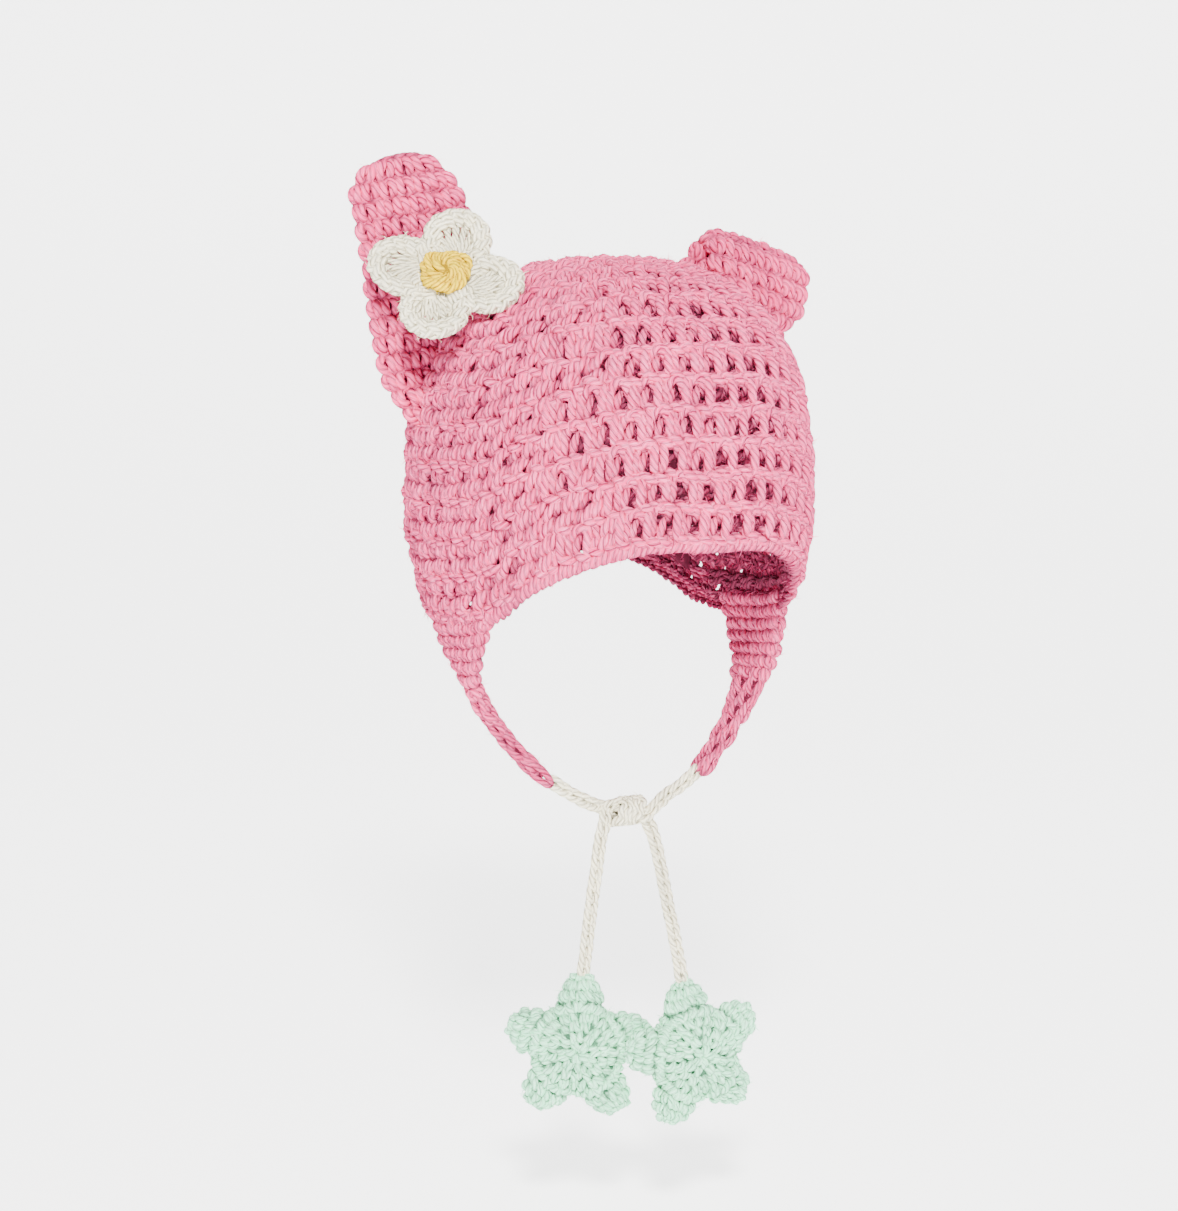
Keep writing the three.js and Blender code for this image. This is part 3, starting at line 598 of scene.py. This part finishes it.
def chain(work, line):
    """A crocheted chain along a line, its links' open side to the front."""
    links = max(2, round(line_length(line) / CHAIN_LINK))
    line = spaced_evenly(line, 400)
    tangent = unit(np.gradient(line, axis=0))
    across = unit(np.cross(tangent, CHAIN_FRONT))
    facing = np.cross(across, tangent)
    for strand in CHAIN:
        shape = spline_through(strand, 13)
        wander = work.chance.normal(0, 0.09, (links, 1, 3))
        place = (np.arange(links)[:, None] + shape[None, :, 2] + wander[..., 2] * 0.4) / links
        sideways = ((shape[None, :, 0] + wander[..., 0]) * CHAIN_SPREAD)[..., None]
        outward = (shape[None, :, 1] + wander[..., 1])[..., None]
        # Strands that turn to the cord's back get painted shade in their colour.
        work.lay(read_along(line, place) + unit(read_along(across, place)) * sideways
                 + unit(read_along(facing, place)) * outward,
                 CHAIN_YARN, smooth_step(outward[..., 0], -1.4, 0.6))


def knotted(side, drop, phase):
    """A cord's whole route: the chin stretch, half round the other cord in the knot, the drop."""
    turns = []
    for share in np.linspace(0.12, 0.88, 9):
        angle = phase + share * math.pi * 1.5
        turns.append(np.array(KNOT_MIDDLE) + (
            side * KNOT_HALF * (1 - 2 * share),
            KNOT_TWIST * math.cos(angle),
            KNOT_TWIST * math.sin(angle),
        ))
    chin = [(side * x, y, z) for x, y, z in CHIN]
    return spaced_evenly(spline_through([*chin, *turns, *drop], 300), 60)


def tie_cord(name, side, drop, phase, seed, nodes):
    line = knotted(side, drop, phase)
    work = Work(8, seed, 0)
    chain(work, line)
    return work.piece(name, "white_yarn", *nodes), line


left_cord, left_line = tie_cord(
    "left_tie_cord", -1, RIGHT_DROP, 0.0, 11, ("left_chin_cord", "right_drop_cord"))
right_cord, right_line = tie_cord(
    "right_tie_cord", 1, LEFT_DROP, math.pi, 12, ("right_chin_cord", "left_drop_cord"))


def chin_knot():
    """The knot's outer loops, drawn tight over the two cords that cross in it."""
    work = Work(8, 13)
    for lean, start in ((-KNOT_TWIST, 0.3), (KNOT_TWIST, 0.8)):
        angle = (start + np.linspace(0, 1.05, 60)) * TURN
        line = np.stack([lean + KNOT_TWIST * np.sin(angle), 4.5 * np.cos(angle),
                         4.3 * np.sin(angle)], axis=1) + KNOT_MIDDLE
        outward = unit(line - np.array(KNOT_MIDDLE) * (0, 1, 1) - line * (1, 0, 0))
        across = np.cross(unit(np.gradient(line, axis=0)), outward)
        wave = 0.5 * np.sin(np.linspace(0, line_length(line) / CHAIN_LINK * TURN, 60))
        for sideways in (-CHAIN_YARN, CHAIN_YARN):
            strand = line + across * (sideways + wave)[:, None] + outward * 0.3
            work.lay(strand[None], 1.2)
    return work.piece("chin_knot_loops", "white_yarn", "chin_knot")


knot = chin_knot()


# ---- Crown ----
TALL_WIDTH = 10.9  # millimetres across one tall stitch
EDGE_WIDTH = 7.2  # and across one of the rim's slanted stitches
CROWN_YARN = 1.68  # the yarn's radius
CROWN_MID = -FABRIC / 2 + 0.3
RIM_EDGE = 1.004  # where the rim's slanted stitches start on the skin, and how tall they are
RIM_EDGE_TALL = -0.036
CORE_OUT = -2.8  # where the yarn's inner turns lie
OPEN_TURN = 40  # degrees from the front to the middle of the open work
OPEN_HALF = 42  # degrees that it reaches to each side
HALF_OPEN = 34  # degrees of half-filled stitches past that
BORDER_WANDER = 9  # degrees by which the border strays from round to round
crown = crown_skin()


def crown_rows(name, first, last, seed):
    """The crown's rounds from first to before last, counted from the apex."""
    work = Work(6, seed)
    for row in range(first, last):
        count = max(7, round(crown.girth((row + 0.62) / CROWN_ROWS / SKIN_RIM) / TALL_WIDTH))
        low = (row + 1) / CROWN_ROWS / SKIN_RIM
        high = (row + (0.3 if row == 0 else 0)) / CROWN_ROWS / SKIN_RIM
        corners = cells_in_row(count, low, 0.37 * row)
        size = (1 / count, high - low)
        turn = ((corners[:, 0] + 0.5 / count) * 360 + 180) % 360 - 180
        beside = np.abs(turn - OPEN_TURN) + work.chance.normal(0, BORDER_WANDER, count)
        dense = (beside > OPEN_HALF + HALF_OPEN) | (row < 2)
        half_open = (beside > OPEN_HALF) & ~dense
        after_open = dense & ~np.roll(dense, 1)
        for cells, stitch, radius, steps, wander in (
            (corners[~dense], TALL_STITCH, CROWN_YARN, 10, 0.045),
            (corners[after_open], TALL_STITCH[:2], CROWN_YARN, 10, 0.045),
            (corners[dense], TALL_STITCH[3:5], CROWN_YARN, 9, 0.07),
            (corners[half_open], FILLING, CROWN_YARN * 0.95, 7, 0.03),
        ):
            crochet(work, crown, cells, size, stitch, radius, steps, wander, CROWN_MID)
        for half in (0, 1):
            crochet(work, crown, corners[dense] + (half * 0.3 / count, half * size[1] / 2),
                    (size[0], size[1] / 2), DENSE_STITCH, CROWN_YARN, 9, 0.07, CROWN_MID)
    if last == CROWN_ROWS:
        count = round(crown.girth(1 / SKIN_RIM) / EDGE_WIDTH)
        crochet(work, crown, cells_in_row(count, RIM_EDGE), (1 / count, RIM_EDGE_TALL),
                EDGE_STITCH, CROWN_YARN, 9, mid=CROWN_MID)
    # The yarn's inner turns, packed between the outer and the inner loops where the work is dense,
    # as a sheet whose colour takes the full painted shade of buried yarn.
    reach = OPEN_HALF + HALF_OPEN + 4
    arc = np.linspace(OPEN_TURN + reach, OPEN_TURN - reach + 360, 90) / 360
    down = np.linspace(first + 0.4, last - 0.3, 4 * (last - first)) / CROWN_ROWS / SKIN_RIM
    work.shell(np.stack([
        np.vstack([crown.at(turns, np.full(90, b), np.full(90, out))
                   for turns, out in ((arc, CORE_OUT), (arc[::-1], CORE_OUT - 0.8))])
        for b in down]))
    work.piece(name, "pink_yarn", "crown")


crown_rows("crown_top_rounds", 0, 6, 21)
crown_rows("crown_middle_rounds", 6, 9, 22)
crown_rows("crown_lower_rounds", 9, 11, 23)
crown_rows("crown_rim_rounds", 11, 13, 24)


# ---- Ears ----
EAR_LENGTH = 100
EAR_WIDTH = 46
EAR_THICK = 9.5
EAR_FOOT = (16, 44)  # how far back the foot is and how high
FOLD_START = 0.56
FOLD_END = 0.77
FOLD_ANGLE = 168
EAR_ALONG = (0, 0.1, 0.22, 0.36, 0.47, 0.57, 0.66, 0.77, 0.85, 0.91, 0.955, 0.985, 1)
EAR_OUTER = (0.62, 0.88, 1.02, 1.06, 1.04, 1.0, 0.98, 0.99, 0.98, 0.9, 0.72, 0.45, 0.1)
EAR_INNER = (0.6, 0.85, 1.12, 1.32, 1.28, 1.06, 0.98, 0.93, 0.83, 0.68, 0.5, 0.3, 0.1)
SHORT_WIDTH = 6.9  # millimetres across one short stitch
SHORT_HEIGHT = 7.2
EAR_YARN = 1.75
EAR_SQUARENESS = 2.6
EAR_CLEAR = 2.5  # stitches that lie this deep in the crown are left out
CORE_THINNER = 5.4  # the stuffing of inner turns, thinner and narrower than the ear
CORE_NARROWER = 2.6


def ear_skin(side, foot_out, lean, tip_back, folded, thick=EAR_THICK, inset=0.0, columns=160):
    tilt = math.radians(lean)
    outward = np.array([side * math.cos(tilt), 0, -math.sin(tilt)])
    rise = unit(np.array([side * math.sin(tilt), tip_back / EAR_LENGTH, math.cos(tilt)]))
    forward = unit(np.cross(outward, rise) * side)
    foot = np.array([side * foot_out, *EAR_FOOT])
    share = np.linspace(0, 1, 193)
    bend = np.radians(FOLD_ANGLE) * smooth_step(share, FOLD_START, FOLD_END) * folded
    lift, reach = (np.concatenate([[0], np.cumsum(part[:-1] * (EAR_LENGTH / 192))])
                   for part in (np.cos(bend), np.sin(bend)))
    outer = read_table(EAR_ALONG, EAR_OUTER, share) * EAR_WIDTH / 2
    inner = read_table(EAR_ALONG, EAR_INNER, share) * EAR_WIDTH / 2
    half_thick = thick / 2 * (1 - 0.45 * smooth_step(share, 0.86, 1))
    angle = np.linspace(0, TURN, columns * 4, endpoint=False)
    c, s = (np.sign(wave) * np.abs(wave) ** (2 / EAR_SQUARENESS)
            for wave in (np.cos(angle), np.sin(angle)))
    rings = []
    for k in range(len(share)):
        centre = (foot + rise * lift[k] + forward * reach[k]
                  + outward * (outer[k] - inner[k]) / 2)
        face = forward * math.cos(bend[k]) - rise * math.sin(bend[k])
        half = max((outer[k] + inner[k]) / 2 - inset, 0.5)
        ring = centre + outward * (c * half)[:, None] + face * (s * half_thick[k])[:, None]
        rings.append(even_ring(ring, columns))
    return Skin(rings)


def ear(name, seed, *shape):
    skin = ear_skin(*shape)
    skin.face_away((skin.points[30, 0] + skin.points[30, 80]) / 2, 30)
    work = Work(7, seed)
    rows = round(EAR_LENGTH / SHORT_HEIGHT)
    for row in range(rows):
        low = row / rows * 0.98
        count = max(5, round(skin.girth(low + 0.5 / rows) / SHORT_WIDTH))
        crochet(work, skin, cells_in_row(count, low, 0.3 * row), (1 / count, 1 / rows),
                SHORT_STITCH, EAR_YARN, 11, mid=-2.2,
                keep=functools.partial(outside_crown, margin=EAR_CLEAR))
    # A stuffing of inner turns inside the ear, its colour at the full painted shade of buried yarn.
    core = ear_skin(*shape, EAR_THICK - CORE_THINNER, CORE_NARROWER, 40)
    first = int(np.argmax(outside_crown(core.points.mean(axis=1), -3)))
    work.shell(core.points[first:-3:4][:, ::work_turn(core)])
    work.piece(name + "_stitches", "ear_yarn", name)


def work_turn(skin):
    """1 where a shell of the skin's rings faces outwards as they run, and -1 where it must turn."""
    ring, following = skin.points[40], skin.points[44]
    centre = ring.mean(axis=0)
    normal = np.cross(ring[1] - ring[0], following[0] - ring[0])
    return 1 if (normal * (ring[0] - centre)).sum() > 0 else -1


ear("upright_ear", 31, -1, 56.5, 10, 4, 0)
ear("folded_ear", 32, 1, 48.5, 18, 0, 1)


# ---- Earflaps ----
FLAP_FRONT_TURN = 69
FLAP_BACK_TURN = 104
FLAP_TUCK = 3
FLAP_FABRIC = 5
STRAP_WIDTH = 8
STRAP_THICK = 4.5
STRAP_TWIST = 22
STRAP_END = (31.8, 16)  # out from the middle plane, and forward
FLAP_DOWN = (0, 0.1, 0.2, 0.32, 0.44, 0.56, 0.67, 0.78, 0.88, 1)
FLAP_INWARD = (0, 0, 0.02, 0.06, 0.14, 0.26, 0.4, 0.57, 0.75, 1)
FLAP_FORWARD = (0, 0.08, 0.16, 0.24, 0.32, 0.43, 0.55, 0.7, 0.84, 1)
FLAP_BROAD = (1, 0.8, 0.61, 0.42, 0.26, 0.14, 0.06, 0.02, 0, 0)
FLAP_HUG = (1, 0.75, 0.45, 0.2, 0.05, 0, 0, 0, 0, 0)
FLAP_TURNED = (0, 0.05, 0.15, 0.4, 0.75, 1, 1, 1, 0.9, 0.8)
FLAP_ROWS = 14
FLAP_WIDTH = 5.6  # millimetres across one of its stitches


def flap_centre(share, side):
    top, front, back = (
        crown_point(side * float(turn), length_at(rim_height(turn)), out)
        for turn, out in ((90, -FLAP_FABRIC / 2), (FLAP_FRONT_TURN, 0), (FLAP_BACK_TURN, 0)))
    depth = (front[1] + back[1]) / 2
    inward = abs(top[0]) - STRAP_END[0]
    centre = np.array([
        side * (abs(top[0]) - inward * read_table(FLAP_DOWN, FLAP_INWARD, share)),
        depth - (STRAP_END[1] + depth) * read_table(FLAP_DOWN, FLAP_FORWARD, share),
        top[2] + FLAP_TUCK - share * (FLAP_LENGTH + FLAP_TUCK),
    ])
    broad = read_table(FLAP_DOWN, FLAP_BROAD, share)
    return centre, (STRAP_WIDTH + (back[1] - front[1] - STRAP_WIDTH) * broad) / 2


def flap_skin(side, thin=1.0, inset=0.0, columns=96):
    rings = []
    for share in np.linspace(0, 1, 97):
        centre, half = flap_centre(share, side)
        ahead = flap_centre(min(share + 0.02, 1), side)[0]
        behind = flap_centre(max(share - 0.02, 0), side)[0]
        along = unit(ahead - behind)
        twist = math.radians(STRAP_TWIST) * read_table(FLAP_DOWN, FLAP_TURNED, share)
        across = np.array([-side * math.sin(twist), math.cos(twist), 0])
        across = unit(across - along * (across @ along))
        outward = unit(np.cross(across, along) * -side)
        hug = read_table(FLAP_DOWN, FLAP_HUG, share)
        thick = (FLAP_FABRIC + (STRAP_THICK - FLAP_FABRIC) * share) * thin
        w = np.concatenate([np.linspace(1, -1, 60), np.linspace(-1, 1, 60)])
        face = np.repeat([1, -1], 60)
        edge = 1 - 0.35 * np.abs(w) ** 4
        on_strip = (centre + across * (w * max(half - inset, 0.4))[:, None]
                    + outward * (face * thick * edge / 2)[:, None])
        turn = FLAP_FRONT_TURN + (FLAP_BACK_TURN - FLAP_FRONT_TURN) * (w + 1) / 2
        down = rim_height(turn) + FLAP_TUCK - share * (FLAP_LENGTH + FLAP_TUCK)
        depth = (face * thick - FLAP_FABRIC) / 2
        on_crown = crown_point(side * turn, length_at(down), depth[:, None])
        rings.append(even_ring(on_strip * (1 - hug) + on_crown * hug, columns))
    return Skin(rings)


def earflap(name, side, seed):
    skin = flap_skin(side)
    skin.face_away(skin.points[20].mean(axis=0), 20)
    work = Work(7, seed)
    rows = FLAP_ROWS
    start = FLAP_TUCK / (FLAP_LENGTH + FLAP_TUCK) - 0.02
    for row in range(rows):
        low = start + (1 - start) * (row + 1) / rows
        count = max(4, round(skin.girth(low - 0.5 / rows) / FLAP_WIDTH))
        strap = row >= rows / 2
        crochet(work, skin, cells_in_row(count, low, 0.4 * row), (1 / count, -(1 - start) / rows),
                STRAP_STITCH if strap else SHORT_STITCH, 1.2 if strap else 1.45, 10,
                mid=-1.6 if strap else -2.1)
    stitches = work.piece(name + "_stitches", "pink_yarn", name)

    # An inner sheet of the flap's yarn, its colour at the full painted shade of buried yarn.
    core_work = Work(7, seed + 1)
    core = flap_skin(side, thin=0.4, inset=1.2, columns=48)
    core_work.shell(core.points[6:-2:3][:, ::work_turn(core)])
    painted_shade_core = core_work.piece(name + "_cloth", "pink_yarn", name)
    # Its widths, measured across it at 40 places along its middle, in metres.
    widths = np.array([core.girth(b) / 2 for b in np.linspace(0, 1, 40)]) * MM


earflap("left_earflap", -1, 41)
earflap("right_earflap", 1, 43)


# ---- Flower ----
FLOWER_RADIUS = 29
FLOWER_NOTCH = 0.5  # where two petals meet, as a share of the radius
FLOWER_THICK = 4.5
FLOWER_CUP = 3
PETALS = 4
PETAL_TURN = 15
MIDDLE_RADIUS = 9.2
MIDDLE_HEIGHT = 5.5
FLOWER_PLACE = (-67.5, -6.5, 94.5)
FLOWER_YAW = -22
FLOWER_TILT = 36
PETAL_LOOP = 5.2  # millimetres of a petal's edge for one loop
RIM_LOOPS = [  # share of a loop along the rim, inward, up
    [(-0.3, 2.4, -0.6), (0.0, 2.5, 1.0), (0.4, 1.2, 2.1), (0.8, -0.4, 1.6), (1.15, -0.9, -0.1)],
    [(-0.3, -0.9, -0.6), (0.0, -1.0, 0.6), (0.4, -0.2, 1.4), (0.8, 1.4, 1.5), (1.2, 2.6, 0.0)],
    [(-0.1, 1.4, -0.9), (0.3, 0.0, -0.8), (0.7, 0.0, -0.7), (1.1, 1.4, -0.9)],
    [(0.0, 3.9, -0.8), (0.2, 4.2, 0.3), (0.6, 3.0, 0.9), (0.9, 1.6, 0.8), (1.1, 0.8, -0.2)],
]


def turn_about(axis, angle):
    """A rotation matrix about x, y or z, in degrees."""
    c, s = math.cos(math.radians(angle)), math.sin(math.radians(angle))
    matrix = np.eye(3)
    i, j = {"x": (1, 2), "y": (2, 0), "z": (0, 1)}[axis]
    matrix[i, i] = matrix[j, j] = c
    matrix[i, j], matrix[j, i] = -s, s
    return matrix


FLOWER_FRAME = turn_about("z", FLOWER_YAW) @ turn_about("x", 90 - FLOWER_TILT)


def on_flower(points):
    return np.asarray(points) @ FLOWER_FRAME.T + FLOWER_PLACE


def petal_lift(points):
    """How high the petals' middle layer lies at a distance from the flower's middle."""
    return FLOWER_THICK / 2 + FLOWER_CUP * (np.hypot(points[..., 0], points[..., 1])
                                            / FLOWER_RADIUS) ** 2


def petal_rim(angle):
    """How far a petal's edge lies from the flower's middle, by the angle from the petal's own."""
    wave = np.abs(np.cos(PETALS * angle / 2)) ** 0.75
    return FLOWER_RADIUS * (FLOWER_NOTCH + (1 - FLOWER_NOTCH) * wave)


def on_circle(radius, angle):
    return np.stack([radius * np.cos(angle), radius * np.sin(angle), 0 * angle], 1)


def petal_edge(work, middle, spread):
    """Slanted loops along a petal's outline, from its foot round its tip to its foot."""
    local = np.linspace(-0.97, 0.97, 120) * spread
    outline = on_circle(petal_rim(local) - 1.9, middle + local)
    foot = on_circle(7.5, middle + np.array([-0.8, 0.8]) * spread)
    line = spaced_evenly(np.vstack([foot[:1], outline, foot[1:]]), 200)
    line[:, 2] = petal_lift(line)
    loops = max(6, round(line_length(line) / PETAL_LOOP))
    inward = np.cross([0, 0, 1.0], unit(np.gradient(line, axis=0)))
    for strand in RIM_LOOPS:
        shape = spline_through(strand, 11)
        at = (np.arange(loops)[:, None] + shape[None, :, 0]
              + work.chance.normal(0, 0.04, (loops, 1))) / loops
        offset = shape[None, :, 1] + work.chance.normal(0, 0.12, (loops, 1))
        up = shape[None, :, 2] + work.chance.normal(0, 0.12, (loops, 1))
        points = read_along(line, at) + unit(read_along(inward, at)) * offset[..., None]
        points[..., 2] += up
        work.lay(on_flower(points), 1.35)


def petal_posts(work, middle, spread):
    """Pairs of strands twisted together, fanned from the flower's middle to a petal's edge."""
    posts = []
    s = np.linspace(0, 1, 12)
    for part in np.linspace(-0.74, 0.74, 8):
        far = petal_rim(part * spread) - 3.2
        for twist in (0.0, math.pi):
            swing = 0.62 * np.sin(s * 9 + twist)
            angle = middle + part * spread * (0.55 + 0.45 * s)
            post = on_circle(5.0 + (far - 5.0) * s, angle) + on_circle(1, angle + math.pi / 2) * (
                swing[:, None])
            post[:, 2] = petal_lift(post) - 0.7 + 0.5 * np.cos(s * 9 + twist)
            posts.append(post)
    work.lay(on_flower(np.stack(posts)), 1.05)


def flower_petals():
    work = Work(8, 51)
    for petal in range(PETALS):
        middle = math.pi / 2 - math.radians(PETAL_TURN) + petal * TURN / PETALS
        petal_edge(work, middle, TURN / PETALS / 2)
        petal_posts(work, middle, TURN / PETALS / 2)
    work.piece("flower_petal_stitches", "white_yarn", "flower_petals")


flower_petals()


def flower_middle():
    """The button in the middle: small tight rounds that close at its top."""
    work = Work(8, 52)
    base = FLOWER_THICK + FLOWER_CUP * (MIDDLE_RADIUS / FLOWER_RADIUS) ** 2
    angle = np.linspace(0, TURN, 96, endpoint=False)
    rings = []
    for share in np.linspace(0, 1, 40):
        lean = share * math.pi / 2 * 0.985
        radius = MIDDLE_RADIUS * math.cos(lean) ** 0.8
        height = base + MIDDLE_HEIGHT * math.sin(lean) ** 0.8
        rings.append(on_circle(radius, angle) + (0, 0, height))
    skin = Skin(on_flower(np.stack(rings)))
    for low, high, count in ((0.0, 0.44, 10), (0.38, 0.74, 7), (0.66, 0.95, 4)):
        crochet(work, skin, cells_in_row(count, low, low * count), (1 / count, high - low),
                EDGE_STITCH, 1.2, 9, wander=0.1, mid=-2.9, buried=(-2.4, 1.2))
    # An inner core under the rounds, its colour at the full painted shade of buried yarn.
    core = on_flower(np.stack(rings) * (0.82, 0.82, 1) - (0, 0, 1.6))
    work.shell(core[::3])
    work.piece("flower_middle_stitches", "yellow_yarn", "flower_middle")


flower_middle()


# ---- Stars ----
STAR_RADIUS = 28.5
STAR_NOTCH = 0.58  # where two arms meet, as a share of the radius
STAR_THICK = 16
STAR_ARMS = 5
STAR_POWER = 1.8
STAR_ROUND = 3.7  # millimetres from one round to the next
STAR_STITCH = 3.4


def star_rim(angle):
    wave = np.abs(np.cos(STAR_ARMS * angle / 2)) ** STAR_POWER
    return STAR_RADIUS * (STAR_NOTCH + (1 - STAR_NOTCH) * wave)


def arm_edge(radius):
    """The angle from an arm's middle at which its edge lies at this radius."""
    local = np.linspace(0, math.pi / STAR_ARMS, 400)
    return local[np.searchsorted(-(star_rim(local) - radius), 0) - 1]


def star_point(angle, radius, face, thin=1.0):
    rim = star_rim(angle)
    share = np.minimum(radius / rim, 1)
    puff = (1 - share ** 2.2).clip(0) ** 0.55
    slim = 0.5 + 0.5 * STAR_NOTCH * STAR_RADIUS / rim
    thick = face * STAR_THICK * thin * puff * (1 + (slim - 1) * share) / 2
    reach = share * rim
    return np.stack([-reach * np.sin(angle), reach * np.cos(angle) - STAR_RADIUS, thick], -1)


def star(name, top, yaw, roll, seed):
    work = Work(6, seed)
    turn = turn_about("z", yaw) @ turn_about("y", roll) @ turn_about("x", 90)
    place = np.array(top) - (0, 0, 0.3)

    def hang(points):
        return points @ turn.T + place

    def round_of(line, out_from, tall=STAR_ROUND):
        """One round of stitches on a closed line. out_from points to the next round."""
        even = even_ring(line, 120)
        up = unit(even_ring(out_from, 120) - even) * tall
        skin = Skin([hang(even), hang(even + up)])
        centre = hang(np.array([0, -STAR_RADIUS, 0.0]))
        skin.face_away(skin.points.mean(axis=(0, 1)) * 0.6 + centre * 0.4, 0)
        count = max(5, round(line_length(np.vstack([line, line[:1]])) / STAR_STITCH))
        crochet(work, skin, cells_in_row(count, 0, work.chance.random()), (1 / count, 1),
                SMALL_STITCH, 1.3, 7, wander=0.07, mid=-0.75, buried=(-1.2, 0.7))

    angle = np.linspace(0, TURN, 240, endpoint=False)
    notch = STAR_NOTCH * STAR_RADIUS
    for face in (1, -1):
        for radius in np.arange(0.9, notch - 1.0, STAR_ROUND * 0.98):
            round_of(star_point(angle, radius, face), star_point(angle, radius + 1.0, face))
    for arm in range(STAR_ARMS):
        middle = arm * TURN / STAR_ARMS
        for radius in np.arange(notch - 0.6, STAR_RADIUS - 1.4, STAR_ROUND):
            ahead = min(radius + 1.0, STAR_RADIUS - 0.2)
            line, out_from = (
                np.vstack([star_point(middle + face * np.linspace(-edge, edge, 60), at, face)
                           for face in (1, -1)])
                for at, edge in ((radius, arm_edge(radius)), (ahead, arm_edge(ahead))))
            round_of(line, out_from, min(STAR_ROUND, STAR_RADIUS - radius))
    # A core inside the star, its colour at the full painted shade of buried yarn.
    steps = [0.05, 0.35, 0.62, 0.85, 0.97]
    spread = np.linspace(0, TURN, 80, endpoint=False)
    rings = [star_point(spread, share * star_rim(spread), face, 0.9) * (0.95, 0.95, 1)
             - (0, 0.05 * STAR_RADIUS, 0)
             for face, shares in ((-1, steps), (1, steps[::-1])) for share in shares]
    work.shell(hang(np.stack(rings)))
    piece = work.piece(name + "_stitches", "mint_yarn", name)
    return piece


left_star = star("left_star", LEFT_DROP[-1], -25, 3, 61)
right_star = star("right_star", RIGHT_DROP[-1], 0, -11, 62)


# ---- Floor, backdrop and lights ----
FLOOR_HEIGHT = -270


def studio_paper():
    """Matt white paper with no gloss, lit a little from behind."""
    material = bpy.data.materials.new("white_studio_paper")
    material.use_nodes = True
    shader = material.node_tree.nodes["Principled BSDF"]
    for socket, value in (("Base Color", linear("#F8F8F8")), ("Roughness", 0.9),
                          ("Emission Color", linear("#FFFFFF")), ("Emission Strength", 1.9)):
        shader.inputs[socket].default_value = value
    return material


def sweep():
    """Floor and backdrop in one sheet of paper that curves up behind the hat."""
    half, front, back, bend, top = 3000, -3500, 900, 500, 2500
    profile = [(front, 0), (0, 0)]
    for k in range(13):
        angle = k / 12 * math.pi / 2
        profile.append((back + bend * math.sin(angle), bend * (1 - math.cos(angle))))
    profile.append((back + bend, top))
    points = [(x, y, z + FLOOR_HEIGHT) for y, z in profile for x in (-half, half)]
    faces = [(2 * k, 2 * k + 1, 2 * k + 3, 2 * k + 2) for k in range(len(profile) - 1)]
    mesh = bpy.data.meshes.new("paper_sweep")
    mesh.from_pydata([Vector(p) * MM for p in points], [], faces)
    mesh.polygons.foreach_set("use_smooth", [True] * len(faces))
    mesh.materials.append(studio_paper())
    paper = add_object("paper_sweep", mesh)
    paper.rotation_euler = (0, 0, math.radians(CAMERA_AZIMUTH))


def soft_light(name, place, size, power, tint):
    """A round lamp at a place in metres, turned to the hat."""
    data = bpy.data.lights.new(name, "AREA")
    data.shape = "DISK"
    data.size = size
    data.energy = power
    data.color = tint
    light = add_object(name, data)
    light.location = place
    aim = Vector((0, 0, -0.03)) - light.location
    light.rotation_euler = aim.to_track_quat("-Z", "Y").to_euler()


sweep()
soft_light("key_light", (-0.7, -1.6, 1.0), 0.3, 140, (1.0, 0.985, 0.97))
soft_light("fill_light", (1.4, -1.1, 0.5), 1.2, 12, (0.97, 0.98, 1.0))
soft_light("top_light", (0.1, 0.6, 1.6), 1.0, 24, (1.0, 1.0, 1.0))
world = bpy.data.worlds.new("studio")
world.use_nodes = True
background = world.node_tree.nodes["Background"]
background.inputs["Color"].default_value = linear("#FFFFFF")
background.inputs["Strength"].default_value = 0.08
bpy.context.scene.world = world
